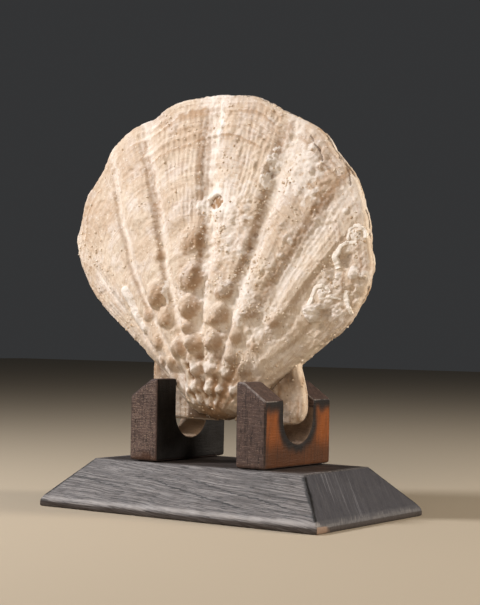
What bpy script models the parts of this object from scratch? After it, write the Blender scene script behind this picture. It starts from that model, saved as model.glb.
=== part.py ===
"""Fossil scallop standing hinge down in a notched wooden cradle.

Two closed valves, a tapered base and two notched blocks. The long side of
the base runs along X, the blocks carry the shell along the plane Y = 0, and
the origin is the middle of the base's underside. Sizes are in millimetres
and are turned to metres where a mesh is written.
"""

import math
from typing import NamedTuple

import bmesh
import bpy
import numpy as np

MM = 0.001
GAP = 0.3  # between two pieces that touch

# Base: a board whose four upper sides slope in.
BASE_LENGTH = 160.0
BASE_WIDTH = 94.0
BASE_HEIGHT = 23.4
BASE_RIM = 3.9  # upright edge below the slopes
BASE_SLOPE_RUN = 19.0
ARRIS = 0.6  # eased edges of the wood

# Blocks: one for each ear of the shell.
BLOCK_INNER = 22.9  # from the middle of the stand
BLOCK_OUTER = 39.6
BLOCK_DEPTH = 55.6
BLOCK_TOP = 63.3
BLOCK_CHAMFER_RUN = 12.4
BLOCK_CHAMFER_DROP = 8.5
NOTCH_RADIUS = 12.5
NOTCH_FLOOR = 34.5
CUTTER_OVERRUN = 8.0

# Shell, seen from the front: X to the right, Z up, heights off the hinge plane.
BEAK = (-3.0, 43.0)
SIDE_BEARING = 56.5  # degrees from upright to each straight side
SHOULDER_REACH = 53.0  # from the beak to where an ear leaves the straight side
EAR_HEIGHT = 2.6
# Half thickness that fits in the notches, and how fast it may grow away from them.
SEAT_HEIGHT = 12.1
SEAT_FROM_X = 18.5
SEAT_SLOPE_X = 1.2
SEAT_TOP_Z = 66.0
SEAT_SLOPE_Z = 0.8

ROUND_MARGIN = (
    (66.2, 88.9), (75.3, 102.5), (79.2, 115.0), (77.8, 127.0), (76.1, 140.0), (69.8, 157.5),
    (59.8, 170.0), (51.5, 180.8), (32.0, 190.2), (12.0, 199.6), (-12.0, 202.0), (-37.0, 200.0),
    (-51.0, 193.5), (-65.0, 188.5), (-76.5, 179.5), (-83.7, 168.0), (-93.0, 157.0),
    (-97.0, 143.5), (-99.8, 130.0), (-91.5, 111.0), (-83.0, 99.5), (-70.5, 88.3),
)
RIGHT_EAR = (
    (41.2, 72.3), (40.4, 69.5), (42.0, 64.5), (43.5, 58.5), (44.0, 52.0), (43.0, 47.3),
    (40.0, 44.0), (35.0, 43.0),
)
LEFT_EAR = (
    (-47.2, 72.3), (-47.9, 68.0), (-48.0, 60.0), (-47.6, 50.0), (-46.5, 45.5), (-43.5, 43.5),
    (-39.0, 43.0),
)

# Height off the hinge plane against the share of the way to the margin.
CREST = (
    (0.0, 2.8), (0.006, 5.5), (0.018, 8.3), (0.04, 10.8), (0.08, 13.0), (0.16, 15.4),
    (0.3, 16.0), (0.45, 13.8), (0.6, 10.4), (0.75, 7.0), (0.9, 4.0), (1.0, 2.2),
)
RIGHT_SIDE = (
    (0.0, 2.8), (0.01, 5.0), (0.03, 7.5), (0.08, 10.0), (0.2, 11.6), (0.34, 11.4),
    (0.45, 7.5), (0.56, 4.0), (0.75, 3.0), (0.9, 2.6), (1.0, 2.2),
)
LEFT_SIDE = (
    (0.0, 2.8), (0.01, 5.0), (0.03, 7.5), (0.08, 10.5), (0.2, 11.4), (0.28, 8.5),
    (0.37, 5.2), (0.56, 3.6), (0.75, 3.0), (0.9, 2.6), (1.0, 2.2),
)
RIB_HEIGHT = 2.9
RIB_FADE = (
    (0.0, 0.0), (0.03, 0.2), (0.1, 0.5), (0.25, 0.8), (0.45, 1.0), (0.8, 0.95), (0.93, 0.6),
    (1.0, 0.4),
)
# Bearing in degrees, share of the full depth, width of the slopes to its left and right.
FRONT_GROOVES = (
    (-47.0, 0.35, 2.5, 2.5), (-33.5, 0.55, 2.5, 2.5), (-19.5, 0.75, 3.0, 3.0),
    (-2.6, 1.0, 3.6, 3.8), (16.6, 1.1, 5.0, 4.6), (31.8, 1.1, 4.6, 4.2),
    (42.0, 1.0, 3.8, 3.2), (50.5, 0.6, 3.0, 2.6),
)
BACK_GROOVES = (
    (-51.5, 0.5, 2.6, 3.0), (-40.5, 0.8, 3.4, 3.4), (-26.5, 0.9, 4.0, 4.0),
    (-11.0, 1.0, 4.4, 4.4), (7.0, 1.0, 4.4, 4.4), (24.5, 1.0, 4.4, 4.2),
    (37.0, 0.9, 3.6, 3.4), (46.5, 0.6, 3.0, 2.6),
)
# Knobs on the ribs: bearing, reach from the beak, radius, height.
FRONT_KNOBS = (
    (-24.1, 92.0, 6.5, 1.4), (-28.6, 75.0, 8.5, 3.6), (-39.4, 68.0, 5.0, 2.0),
    (-28.9, 57.5, 5.5, 2.6), (-42.7, 56.0, 4.5, 1.8), (-29.9, 42.0, 6.0, 3.2),
    (-32.0, 29.5, 4.6, 2.4), (-9.2, 89.5, 9.5, 2.8), (-11.6, 73.0, 9.0, 3.2),
    (-14.1, 60.0, 6.5, 2.6), (-16.4, 49.0, 5.2, 2.4), (-14.6, 40.5, 5.5, 3.0),
    (-16.1, 28.6, 4.4, 2.4), (7.3, 64.3, 5.6, 2.6), (6.9, 52.8, 4.8, 2.0),
    (4.9, 40.7, 5.2, 2.8), (4.6, 28.8, 4.4, 2.2), (-44.8, 40.0, 4.2, 1.6),
    (-24.0, 18.0, 3.2, 1.6), (0.0, 16.5, 3.2, 1.6), (23.2, 16.0, 3.0, 1.4),
)
BACK_KNOBS = (
    (-18.5, 52.0, 7.0, 1.8), (-2.0, 50.0, 7.0, 1.8), (15.5, 52.0, 7.0, 1.8),
    (-18.5, 34.0, 5.4, 1.6), (-2.0, 33.0, 5.4, 1.6), (15.5, 34.0, 5.4, 1.6),
)
# Old margins that stand as steps: share of the way out, drop, and where they run along X.
FRONT_LEDGES = ((0.886, 0.8, -54.0, -2.0), (0.955, 0.7, 24.0, 46.0))
LEDGE_SHARE = 0.011  # width of a step
LEDGE_END = 6.0  # length over which a step dies out
# Worm tubes left on the front valve, as the points they pass through.
WORM_RADIUS = 1.2
WORM_ARC = (
    (76.0, 127.0), (71.5, 127.6), (66.6, 127.0), (62.0, 124.0), (60.4, 120.0), (61.4, 116.0),
    (63.0, 112.5),
)
WORM_ARCH = ((49.5, 101.0), (50.6, 105.2), (53.8, 107.2), (57.0, 105.6), (58.4, 102.0))
WORM_BAR = ((53.0, 101.4), (58.0, 101.8), (63.0, 101.6), (67.0, 102.0))
WORM_STALK = ((65.6, 106.5), (66.0, 101.5), (67.4, 96.5), (69.6, 91.5))
WORM_RING_AT = (69.6, 131.6)
WORM_RING_RADIUS = 3.8
# Lumps of grit: position, radius, how far their middle stands off the surface.
LUMPS = ((49.5, 97.0, 4.2, 0.2), (69.6, 114.4, 3.0, 0.3), (74.0, 113.6, 2.6, 0.2))
PIT_AT = (-2.2, 148.0)
PIT_RADIUS = 4.6
PIT_DEPTH = 1.8

# How finely the valves are divided.
FRONT_COLUMNS = (0.0, 0.12, 0.26, 0.42, 0.58, 0.74, 0.88)
BACK_COLUMNS = (0.0, 0.25, 0.5, 0.75)
EAR_BEARINGS = (SIDE_BEARING, 62.0, 67.5, 73.0, 78.0, 82.5, 86.0, 90.0)
FRONT_INNER_ROWS = 30  # from the beak to the shoulders
BACK_INNER_ROWS = 17
# From the shoulders to the margin, with a pair of rows at each step.
FRONT_OUTER_ROWS = (0.11, 0.22, 0.33, 0.44, 0.56, 0.683, 0.714, 0.8, 0.875, 0.906, 1.0)
BACK_OUTER_ROWS = (0.16, 0.32, 0.48, 0.64, 0.8, 0.92, 1.0)
ROW_CROWDING = 1.25  # above 1 draws the rows together at the beak


def clear_scene():
    for thing in list(bpy.data.objects):
        bpy.data.objects.remove(thing, do_unlink=True)


def make_material(name, colour, roughness):
    material = bpy.data.materials.new(name)
    material.use_nodes = True
    shader = material.node_tree.nodes["Principled BSDF"]
    shader.inputs["Base Color"].default_value = (*colour, 1.0)
    shader.inputs["Roughness"].default_value = roughness
    shader.inputs["Metallic"].default_value = 0.0
    return material


def finish_object(name, mesh, material):
    thing = bpy.data.objects.new(name, mesh)
    bpy.context.scene.collection.objects.link(thing)
    mesh.materials.append(material)
    return thing


def hide_helper(thing):
    thing.hide_render = True
    thing.display_type = "WIRE"


def add_boolean(thing, helper, operation):
    modifier = thing.modifiers.new(helper.name, "BOOLEAN")
    modifier.operation = operation
    modifier.solver = "EXACT"
    modifier.object = helper
    hide_helper(helper)


def add_arris(thing):
    """Eases every edge of a wooden piece."""
    modifier = thing.modifiers.new("arris", "BEVEL")
    modifier.width = ARRIS * MM
    modifier.segments = 2
    modifier.limit_method = "ANGLE"
    modifier.angle_limit = math.radians(20.0)


def prism(name, outline, start, end, axis, material):
    """A closed solid with one outline at both ends, running along X or Y."""
    shape = bmesh.new()
    ends = []
    for along in (start, end):
        points = [(along, a, b) if axis == "X" else (a, along, b) for a, b in outline]
        ends.append([shape.verts.new([v * MM for v in point]) for point in points])
    shape.faces.new(ends[0])
    shape.faces.new(reversed(ends[1]))
    for i in range(len(outline)):
        j = (i + 1) % len(outline)
        shape.faces.new((ends[0][j], ends[0][i], ends[1][i], ends[1][j]))
    bmesh.ops.recalc_face_normals(shape, faces=shape.faces)
    mesh = bpy.data.meshes.new(name)
    shape.to_mesh(mesh)
    shape.free()
    return finish_object(name, mesh, material)


def build_base(material):
    """The board: an upright rim, then four slopes up to a flat top."""
    levels = ((0.0, 0.0), (0.0, BASE_RIM), (BASE_SLOPE_RUN, BASE_HEIGHT))
    shape = bmesh.new()
    rings = []
    for inset, height in levels:
        x, y = BASE_LENGTH / 2 - inset, BASE_WIDTH / 2 - inset
        corners = ((-x, -y), (x, -y), (x, y), (-x, y))
        rings.append([shape.verts.new((a * MM, b * MM, height * MM)) for a, b in corners])
    for low, high in zip(rings, rings[1:]):
        for i in range(4):
            j = (i + 1) % 4
            shape.faces.new((low[i], low[j], high[j], high[i]))
    shape.faces.new(reversed(rings[0]))
    shape.faces.new(rings[-1])
    mesh = bpy.data.meshes.new("base")
    shape.to_mesh(mesh)
    shape.free()
    add_arris(finish_object("base", mesh, material))


def notch_cutter(name, material):
    """A bar with a half-round underside, longer than the block is thick."""
    middle = NOTCH_FLOOR + NOTCH_RADIUS
    turns = [math.pi + math.pi * i / 20 for i in range(21)]
    outline = [
        (NOTCH_RADIUS * math.cos(turn), middle + NOTCH_RADIUS * math.sin(turn)) for turn in turns
    ]
    above = BLOCK_TOP + CUTTER_OVERRUN
    outline += [(NOTCH_RADIUS, above), (-NOTCH_RADIUS, above)]
    start, end = BLOCK_INNER - CUTTER_OVERRUN, BLOCK_OUTER + CUTTER_OVERRUN
    return prism(name, outline, start, end, "X", material)


def build_block(name, side, material):
    """The block on one side of the stand; side is 1 for the right and -1 for the left."""
    bottom = BASE_HEIGHT + GAP
    outline = [
        (BLOCK_INNER, bottom),
        (BLOCK_OUTER, bottom),
        (BLOCK_OUTER, BLOCK_TOP - BLOCK_CHAMFER_DROP),
        (BLOCK_OUTER - BLOCK_CHAMFER_RUN, BLOCK_TOP),
        (BLOCK_INNER, BLOCK_TOP),
    ]
    half = BLOCK_DEPTH / 2
    block = prism(name, outline, -half, half, "Y", material)
    cutter = notch_cutter(name + "_notch", material)
    add_boolean(block, cutter, "DIFFERENCE")
    add_arris(block)
    if side < 0:
        block.rotation_euler.z = math.pi
        cutter.rotation_euler.z = math.pi


def read_profile(profile, share):
    """A smooth curve through the profile's points, read at one or many shares."""
    knots, values = np.array(profile).T
    slopes = np.gradient(values, knots)
    at = np.clip(np.searchsorted(knots, share) - 1, 0, len(knots) - 2)
    span = knots[at + 1] - knots[at]
    t = np.clip((share - knots[at]) / span, 0.0, 1.0)
    return (
        (2 * t**3 - 3 * t**2 + 1) * values[at]
        + (t**3 - 2 * t**2 + t) * span * slopes[at]
        + (3 * t**2 - 2 * t**3) * values[at + 1]
        + (t**3 - t**2) * span * slopes[at + 1]
    )


def smooth_path(points, steps):
    """Points along a Catmull-Rom curve that passes through those given."""
    given = np.array(points, dtype=float)
    padded = np.vstack([2 * given[0] - given[1], given, 2 * given[-1] - given[-2]])
    t = np.linspace(0.0, 1.0, steps, endpoint=False)[:, None]
    pieces = []
    for a, b, c, d in zip(padded, padded[1:], padded[2:], padded[3:]):
        pieces.append(
            0.5
            * (
                2 * b
                + (c - a) * t
                + (2 * a - 5 * b + 4 * c - d) * t**2
                + (3 * b - a - 3 * c + d) * t**3
            )
        )
    return np.vstack([*pieces, given[-1:]])


def polar_from_beak(x, z):
    """Bearing from upright in degrees, and distance, of a point seen from the beak."""
    across, up = np.subtract(x, BEAK[0]), np.subtract(z, BEAK[1])
    return np.degrees(np.arctan2(across, up)), np.hypot(across, up)


def point_from_beak(bearing, reach):
    turn = np.radians(bearing)
    return BEAK[0] + reach * np.sin(turn), BEAK[1] + reach * np.cos(turn)


def reach_table(points):
    bearings, reaches = polar_from_beak(*smooth_path(points, 12).T)
    order = np.argsort(bearings)
    return bearings[order], reaches[order]


MARGIN_TABLE = reach_table(ROUND_MARGIN)
RIGHT_EAR_TABLE = reach_table(RIGHT_EAR)
LEFT_EAR_TABLE = reach_table(LEFT_EAR)


def margin_reach(bearing):
    """Distance from the beak to the margin."""
    return np.interp(bearing, *MARGIN_TABLE)


def shoulder_share(bearing):
    """How far out the row of the shoulders lies, as a share of the way to the margin."""
    sides = (-SIDE_BEARING, SIDE_BEARING)
    return float(np.interp(bearing, sides, SHOULDER_REACH / margin_reach(sides)))


def ear_reach(bearing):
    return float(np.interp(bearing, *(RIGHT_EAR_TABLE if bearing > 0 else LEFT_EAR_TABLE)))


def groove_shadow(bearing, grooves):
    """1 at the bottom of a full groove and 0 on top of a rib."""
    depth = np.zeros_like(bearing)
    for middle, share, left, right in grooves:
        away = bearing - middle
        width = np.where(away < 0, left, right)
        near = np.clip(np.abs(away) / width, 0.0, 1.0)
        depth = np.maximum(depth, share * np.cos(near * math.pi / 2) ** 2)
    return depth


def ledge_drop(x, share, ledges):
    """How far the surface has stepped down at old margins."""
    drop = np.zeros_like(x)
    for start, depth, left, right in ledges:
        along = np.clip(np.minimum(x - left, right - x) / LEDGE_END, 0.0, 1.0)
        drop = drop + depth * along * np.clip((share - start) / LEDGE_SHARE, 0.0, 1.0)
    return drop


def valve_height(x, z, relief):
    """Height of a valve's outer surface off the hinge plane, within its straight sides."""
    x, z = np.atleast_1d(np.asarray(x, float)), np.atleast_1d(np.asarray(z, float))
    bearing, reach = polar_from_beak(x, z)
    bearing = np.clip(bearing, -SIDE_BEARING, SIDE_BEARING)
    share = np.clip(reach / margin_reach(bearing), 0.0, 1.0)
    across = np.abs(bearing) / SIDE_BEARING
    side = np.where(bearing > 0, read_profile(RIGHT_SIDE, share), read_profile(LEFT_SIDE, share))
    height = side + (read_profile(CREST, share) - side) * (1.0 - across**2.3) ** 0.8
    ribs = 1.0 - groove_shadow(bearing, relief.grooves)
    height = height + RIB_HEIGHT * read_profile(RIB_FADE, share) * ribs * (1.0 - across**8)
    height = height - ledge_drop(x, share, relief.ledges)
    for knob_bearing, knob_reach, radius, rise in relief.knobs:
        knob_x, knob_z = point_from_beak(knob_bearing, knob_reach)
        away = np.minimum(np.hypot(x - knob_x, z - knob_z) / radius, 1.0)
        height = height + rise * (1.0 - away**2) ** 1.5
    room = (
        SEAT_HEIGHT
        + SEAT_SLOPE_Z * np.maximum(0.0, z - SEAT_TOP_Z)
        + SEAT_SLOPE_X * np.maximum(0.0, SEAT_FROM_X - np.abs(x))
    )
    return np.minimum(height, room)


def column_bearings(grooves, fractions):
    """Bearings of the columns, placed by the grooves so that each one has a column."""
    stops = [-SIDE_BEARING, *(groove[0] for groove in grooves), SIDE_BEARING]
    bearings = [
        low + (high - low) * fraction
        for low, high in zip(stops, stops[1:])
        for fraction in fractions
    ]
    return np.array([*bearings, SIDE_BEARING])


def inner_rows(count):
    """Shares of the way from the beak to the shoulders."""
    return np.linspace(0.0, 1.0, count + 1) ** ROW_CROWDING


class Relief(NamedTuple):
    """What one valve carries, and how finely it is divided."""

    grooves: tuple
    knobs: tuple
    ledges: tuple
    fractions: tuple
    inner: int
    outer: tuple


FRONT = Relief(
    FRONT_GROOVES, FRONT_KNOBS, FRONT_LEDGES, FRONT_COLUMNS, FRONT_INNER_ROWS, FRONT_OUTER_ROWS
)
BACK = Relief(BACK_GROOVES, BACK_KNOBS, (), BACK_COLUMNS, BACK_INNER_ROWS, BACK_OUTER_ROWS)


class ValveMesh:
    """Builds one valve as a fan of columns from the beak, with an ear on each side."""

    def __init__(self, facing, relief):
        self.facing = facing  # -1 for the front valve, 1 for the back one
        self.relief = relief
        self.shape = bmesh.new()

    def vertex(self, x, z, height):
        return self.shape.verts.new((x * MM, self.facing * height * MM, z * MM))

    def build(self):
        below = self.relief.inner
        bearings = column_bearings(self.relief.grooves, self.relief.fractions)
        beak = self.vertex(*BEAK, CREST[0][1])
        fan = [self.fan_column(bearing, beak) for bearing in bearings]
        self.quads(fan)
        ears = {}
        for side, fan_side in ((-1, fan[0]), (1, fan[-1])):
            ear = [self.ear_column(side * bearing, beak) for bearing in EAR_BEARINGS]
            self.quads([fan_side[: below + 1], *ear])
            ears[side] = ear
        self.close(beak, fan, ears, below)
        bmesh.ops.recalc_face_normals(self.shape, faces=self.shape.faces)
        return self.shape

    def fan_column(self, bearing, beak):
        shoulder = shoulder_share(bearing)
        inner = shoulder * inner_rows(self.relief.inner)[1:]
        outer = shoulder + (1.0 - shoulder) * np.array(self.relief.outer)
        reaches = np.concatenate([inner, outer]) * margin_reach(bearing)
        x, z = point_from_beak(bearing, reaches)
        heights = valve_height(x, z, self.relief)
        return [beak, *(self.vertex(*point) for point in zip(x, z, heights))]

    def ear_column(self, bearing, beak):
        reach = SHOULDER_REACH if abs(bearing) == SIDE_BEARING else ear_reach(bearing)
        x, z = point_from_beak(bearing, reach * inner_rows(self.relief.inner)[1:])
        return [beak, *(self.vertex(a, b, EAR_HEIGHT) for a, b in zip(x, z))]

    def quads(self, columns):
        for left, right in zip(columns, columns[1:]):
            self.shape.faces.new((left[0], left[1], right[1]))
            for k in range(1, len(left) - 1):
                self.shape.faces.new((left[k], left[k + 1], right[k + 1], right[k]))

    def foot(self, vertex):
        foot = self.shape.verts.new(vertex.co)
        foot.co.y = self.facing * GAP / 2 * MM
        return foot

    def close(self, beak, fan, ears, below):
        """Walls down to the hinge plane all round, and the flat inner face."""
        half = {}
        for side, fan_side in ((-1, fan[0]), (1, fan[-1])):
            ear = ears[side]
            hinge = ear[-1][1:]
            edge = [column[-1] for column in reversed(ear[:-1])]
            half[side] = ([*hinge, *edge], fan_side)
        right, left = half[1], half[-1]
        across = [column[-1] for column in reversed(fan[1:-1])]
        feet = [self.foot(beak)]
        feet += self.wall(beak, feet[0], right[0])
        feet += self.shoulder_and_side(feet[-1], right, below)
        feet += self.wall(right[1][-1], feet[-1], [*across, left[1][-1]])
        back = self.wall(beak, feet[0], left[0])
        back += self.shoulder_and_side(back[-1], left, below, last_foot=feet[-1])
        feet += reversed(back)
        self.shape.faces.new(feet)

    def wall(self, start, start_foot, tops):
        feet = []
        for top in tops:
            foot = self.foot(top)
            self.shape.faces.new((start, top, foot, start_foot))
            feet.append(foot)
            start, start_foot = top, foot
        return feet

    def shoulder_and_side(self, corner_foot, half, below, last_foot=None):
        """The wall from an ear's upper corner along the free part of the straight side."""
        ear_corner, side = half[0][-1], half[1]
        feet = []
        start, start_foot = side[below], corner_foot
        for k in range(below + 1, len(side)):
            last = k == len(side) - 1
            foot = last_foot if last and last_foot is not None else self.foot(side[k])
            if k == below + 1:
                self.shape.faces.new((ear_corner, start_foot, foot))
                self.shape.faces.new((ear_corner, foot, side[k]))
                self.shape.faces.new((ear_corner, side[k], start))
            else:
                self.shape.faces.new((start, side[k], foot, start_foot))
            if foot is not last_foot:
                feet.append(foot)
            start, start_foot = side[k], foot
        return feet


def build_valve(name, facing, relief, material):
    shape = ValveMesh(facing, relief).build()
    mesh = bpy.data.meshes.new(name)
    shape.to_mesh(mesh)
    shape.free()
    valve = finish_object(name, mesh, material)
    mesh.shade_smooth()
    mesh.set_sharp_from_angle(angle=math.radians(50.0))
    return valve


def on_front(x, z, lift=0.0):
    """A point on the front valve's outer surface, in metres."""
    height = float(valve_height(x, z, FRONT)[0]) + lift
    return (x * MM, -height * MM, z * MM)


def worm_tube(name, points, closed, material):
    curve = bpy.data.curves.new(name, "CURVE")
    curve.dimensions = "3D"
    curve.bevel_depth = WORM_RADIUS * MM
    curve.bevel_resolution = 1
    curve.use_fill_caps = True
    spline = curve.splines.new("POLY")
    spline.points.add(len(points) - 1)
    for spot, (x, z) in zip(spline.points, points):
        spot.co = (*on_front(x, z, 0.2), 1.0)
    spline.use_cyclic_u = closed
    guide = bpy.data.objects.new(name + "_path", curve)
    bpy.context.scene.collection.objects.link(guide)
    hide_helper(guide)
    graph = bpy.context.evaluated_depsgraph_get()
    mesh = bpy.data.meshes.new_from_object(guide.evaluated_get(graph))
    return finish_object(name, mesh, material)


def ball(name, centre, radius, material):
    shape = bmesh.new()
    bmesh.ops.create_icosphere(shape, subdivisions=2, radius=radius * MM)
    bmesh.ops.translate(shape, verts=shape.verts, vec=centre)
    mesh = bpy.data.meshes.new(name)
    shape.to_mesh(mesh)
    shape.free()
    return finish_object(name, mesh, material)


def dress_front(valve, material):
    """Fuses the worm tubes and lumps of grit to the front valve and sinks its pit."""
    routes = {"worm_arc": WORM_ARC, "worm_arch": WORM_ARCH, "worm_bar": WORM_BAR}
    routes["worm_stalk"] = WORM_STALK
    for name, points in routes.items():
        tube = worm_tube(name, smooth_path(points, 3), False, material)
        add_boolean(valve, tube, "UNION")
    turns = [2 * math.pi * i / 14 for i in range(14)]
    ring = [
        (
            WORM_RING_AT[0] + WORM_RING_RADIUS * math.sin(turn),
            WORM_RING_AT[1] + WORM_RING_RADIUS * math.cos(turn),
        )
        for turn in turns
    ]
    add_boolean(valve, worm_tube("worm_ring", ring, True, material), "UNION")
    for i, (x, z, radius, lift) in enumerate(LUMPS):
        lump = ball(f"lump_{i}", on_front(x, z, lift - radius / 2), radius, material)
        add_boolean(valve, lump, "UNION")
    pit = ball("pit", on_front(*PIT_AT, PIT_RADIUS - PIT_DEPTH), PIT_RADIUS, material)
    add_boolean(valve, pit, "DIFFERENCE")


def main():
    clear_scene()
    shell = make_material("fossil_shell", (0.56, 0.44, 0.33), 0.8)
    charred = make_material("charred_wood", (0.09, 0.075, 0.07), 0.62)
    build_base(charred)
    build_block("right_block", 1, charred)
    build_block("left_block", -1, charred)
    dress_front(build_valve("front_valve", -1, FRONT, shell), shell)
    build_valve("back_valve", 1, BACK, shell)


main()
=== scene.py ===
"""Fossil scallop standing in its charred wooden cradle: the surfaces that show.

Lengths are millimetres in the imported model's own axes, X to the right seen
from the front, Y to the back and Z up, and are turned to metres where a mesh
or a material is written.
"""

from __future__ import annotations

import logging
import math
from dataclasses import dataclass
from enum import Enum
from itertools import product
from typing import Any

import bmesh
import bpy
import numpy as np
from mathutils import Matrix, Vector

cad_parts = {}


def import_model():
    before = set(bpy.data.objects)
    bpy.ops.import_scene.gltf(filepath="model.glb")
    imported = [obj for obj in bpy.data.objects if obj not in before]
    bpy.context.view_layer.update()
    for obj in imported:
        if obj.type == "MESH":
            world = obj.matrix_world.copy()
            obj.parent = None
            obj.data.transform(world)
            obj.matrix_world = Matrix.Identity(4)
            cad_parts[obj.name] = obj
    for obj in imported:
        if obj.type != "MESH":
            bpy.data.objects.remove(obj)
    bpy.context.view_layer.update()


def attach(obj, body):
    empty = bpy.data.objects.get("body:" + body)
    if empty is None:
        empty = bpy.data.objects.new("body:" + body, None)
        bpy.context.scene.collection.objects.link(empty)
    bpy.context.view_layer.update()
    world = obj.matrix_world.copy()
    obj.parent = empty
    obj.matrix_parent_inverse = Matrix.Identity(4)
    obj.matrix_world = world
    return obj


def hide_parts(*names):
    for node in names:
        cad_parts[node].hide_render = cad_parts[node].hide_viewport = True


LOG = logging.getLogger("scallop")

MM = 0.001
FRAME_WIDTH = 480.0  # pixels across the picture
CRUMBS_PER_SQUARE_METRE = {"front_valve": 210000.0, "back_valve": 90000.0}

Array = np.ndarray
Pair = tuple[float, float]
Triple = tuple[float, float, float]
Table = tuple[Pair, ...]
Tones = dict[str, Array]
Faces = list[tuple[int, ...]]
Object = bpy.types.Object
Tree = bpy.types.NodeTree
Socket = bpy.types.NodeSocket
Material = bpy.types.Material


# ---------------------------------------------------------------- small tools


def linear(code: str) -> tuple[float, float, float, float]:
    """Turns an sRGB hex code into a linear colour.

    Args:
        code: the hex code, with its hash.

    Returns:
        Linear red, green, blue and a full alpha.
    """
    shares = [int(code[i : i + 2], 16) / 255 for i in (1, 3, 5)]
    lit = [s / 12.92 if s <= 0.04045 else ((s + 0.055) / 1.055) ** 2.4 for s in shares]
    return (lit[0], lit[1], lit[2], 1.0)


def clamp(value: Array) -> Array:
    """A value held between 0 and 1."""
    return np.clip(value, 0.0, 1.0)


def smoothstep(low: float, high: float, value: Array) -> Array:
    """0 up to low, 1 from high on and an even rise between, or the reverse if low is above high."""
    t = clamp((np.asarray(value, float) - low) / (high - low))
    return t * t * (3.0 - 2.0 * t)


def read_profile(profile: Table, share: Array) -> Array:
    """Reads a smooth curve through a profile's points.

    Args:
        profile: (place, value) pairs, places rising.
        share: the places to read.

    Returns:
        The value at each place.
    """
    knots, values = np.array(profile).T
    slopes = np.gradient(values, knots)
    at = np.clip(np.searchsorted(knots, share) - 1, 0, len(knots) - 2)
    span = knots[at + 1] - knots[at]
    t = clamp((share - knots[at]) / span)
    return (
        (2 * t**3 - 3 * t**2 + 1) * values[at]
        + (t**3 - 2 * t**2 + t) * span * slopes[at]
        + (3 * t**2 - 2 * t**3) * values[at + 1]
        + (t**3 - t**2) * span * slopes[at + 1]
    )


def smooth_path(points: Table, steps: int) -> Array:
    """Points along a Catmull-Rom curve that passes through those given.

    Args:
        points: the places it passes through.
        steps: how many points each part of it gets.

    Returns:
        One row for each point, the last of those given included.
    """
    given = np.array(points, dtype=float)
    padded = np.vstack([2 * given[0] - given[1], given, 2 * given[-1] - given[-2]])
    t = np.linspace(0.0, 1.0, steps, endpoint=False)[:, None]
    pieces = [
        0.5
        * (
            2 * b
            + (c - a) * t
            + (2 * a - 5 * b + 4 * c - d) * t**2
            + (3 * b - a - 3 * c + d) * t**3
        )
        for a, b, c, d in zip(padded, padded[1:], padded[2:], padded[3:])
    ]
    return np.vstack([*pieces, given[-1:]])


def hashed(seed: int, *cells: Array) -> Array:
    """A steady random number from 0 to 1 for each lattice cell.

    Args:
        seed: picks the pattern.
        cells: the whole-number place of each cell, one array for each axis.

    Returns:
        One number for each cell.
    """
    mixed = np.full(np.shape(cells[0]), seed * 2654435761 % 2**32, dtype=np.uint64)
    for factor, cell in zip((374761393, 668265263, 2246822519), cells):
        mixed = mixed ^ (cell.astype(np.int64).astype(np.uint64) * np.uint64(factor))
        mixed = (mixed ^ (mixed >> np.uint64(15))) * np.uint64(2246822519)
        mixed = mixed & np.uint64(0xFFFFFFFF)
    mixed = (mixed ^ (mixed >> np.uint64(13))) * np.uint64(3266489917)
    mixed = (mixed & np.uint64(0xFFFFFFFF)) ^ ((mixed & np.uint64(0xFFFFFFFF)) >> np.uint64(16))
    return mixed.astype(float) / 2**32


def wander(points: Array, size: float | tuple[float, ...], seed: int) -> Array:
    """Smooth noise from -1 to 1.

    Args:
        points: one row for each place, in mm.
        size: how far apart the noise's swings are, in mm, or one for each axis.
        seed: picks the pattern.

    Returns:
        One value for each row.
    """
    scaled = np.asarray(points, float) / size
    corner = np.floor(scaled).astype(np.int64)
    part = scaled - corner
    fade = part**3 * (part * (part * 6 - 15) + 10)
    total = np.zeros(len(scaled))
    for step in product((0, 1), repeat=scaled.shape[1]):
        offset = np.array(step)
        weight = np.prod(np.where(offset, fade, 1.0 - fade), axis=1)
        total += weight * hashed(seed, *(corner + offset).T)
    return total * 2.0 - 1.0


def layered(points: Array, size: float | tuple[float, ...], seed: int, octaves: int = 3) -> Array:
    """Noise with finer noise on it, each octave half the size and strength."""
    scale = np.asarray(size, float)
    return sum(wander(points, scale / 2**k, seed + k) / 2**k for k in range(octaves))


def bell(offset: Array, width: float | Array) -> Array:
    """1 where an offset is 0, falling to nothing a few widths away."""
    return np.exp(-((offset / width) ** 2))


def round_over(inset: Array, radius: float | Array) -> Array:
    """How far an edge rounded to a radius lies below the flat, at a distance in from it."""
    t = 1.0 - clamp(inset / radius)
    return radius * (1.0 - np.sqrt(clamp(1.0 - t**2)))


def raise_tone(tones: Tones, name: str, values: Array) -> None:
    """Raises a tone to the values given wherever it is lower."""
    tones[name] = np.maximum(tones[name], values)


def grains(points: Array, cell: float, seed: int, share: float) -> Array:
    """Round grains strewn over a plane, as heights from 0 to 1.

    Args:
        points: (x, z) rows in mm.
        cell: spacing of the cells that may each hold a grain.
        seed: picks the pattern.
        share: share of the cells that hold one.

    Returns:
        The height of the grain over each point.
    """
    scaled = np.asarray(points, float) / cell
    home = np.floor(scaled).astype(np.int64)
    height = np.zeros(len(scaled))
    for step in product((-1, 0, 1), repeat=2):
        near = home + np.array(step)
        column, row = near.T
        middle = near + np.stack([hashed(seed, column, row), hashed(seed + 1, column, row)], 1)
        radius = 0.25 + 0.3 * hashed(seed + 2, column, row)
        present = hashed(seed + 3, column, row) < share
        away = np.hypot(*(scaled - middle).T) / radius
        cap = np.sqrt(clamp(1.0 - away**2)) * radius / 0.55
        height = np.maximum(height, np.where(present, cap, 0.0))
    return height


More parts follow.
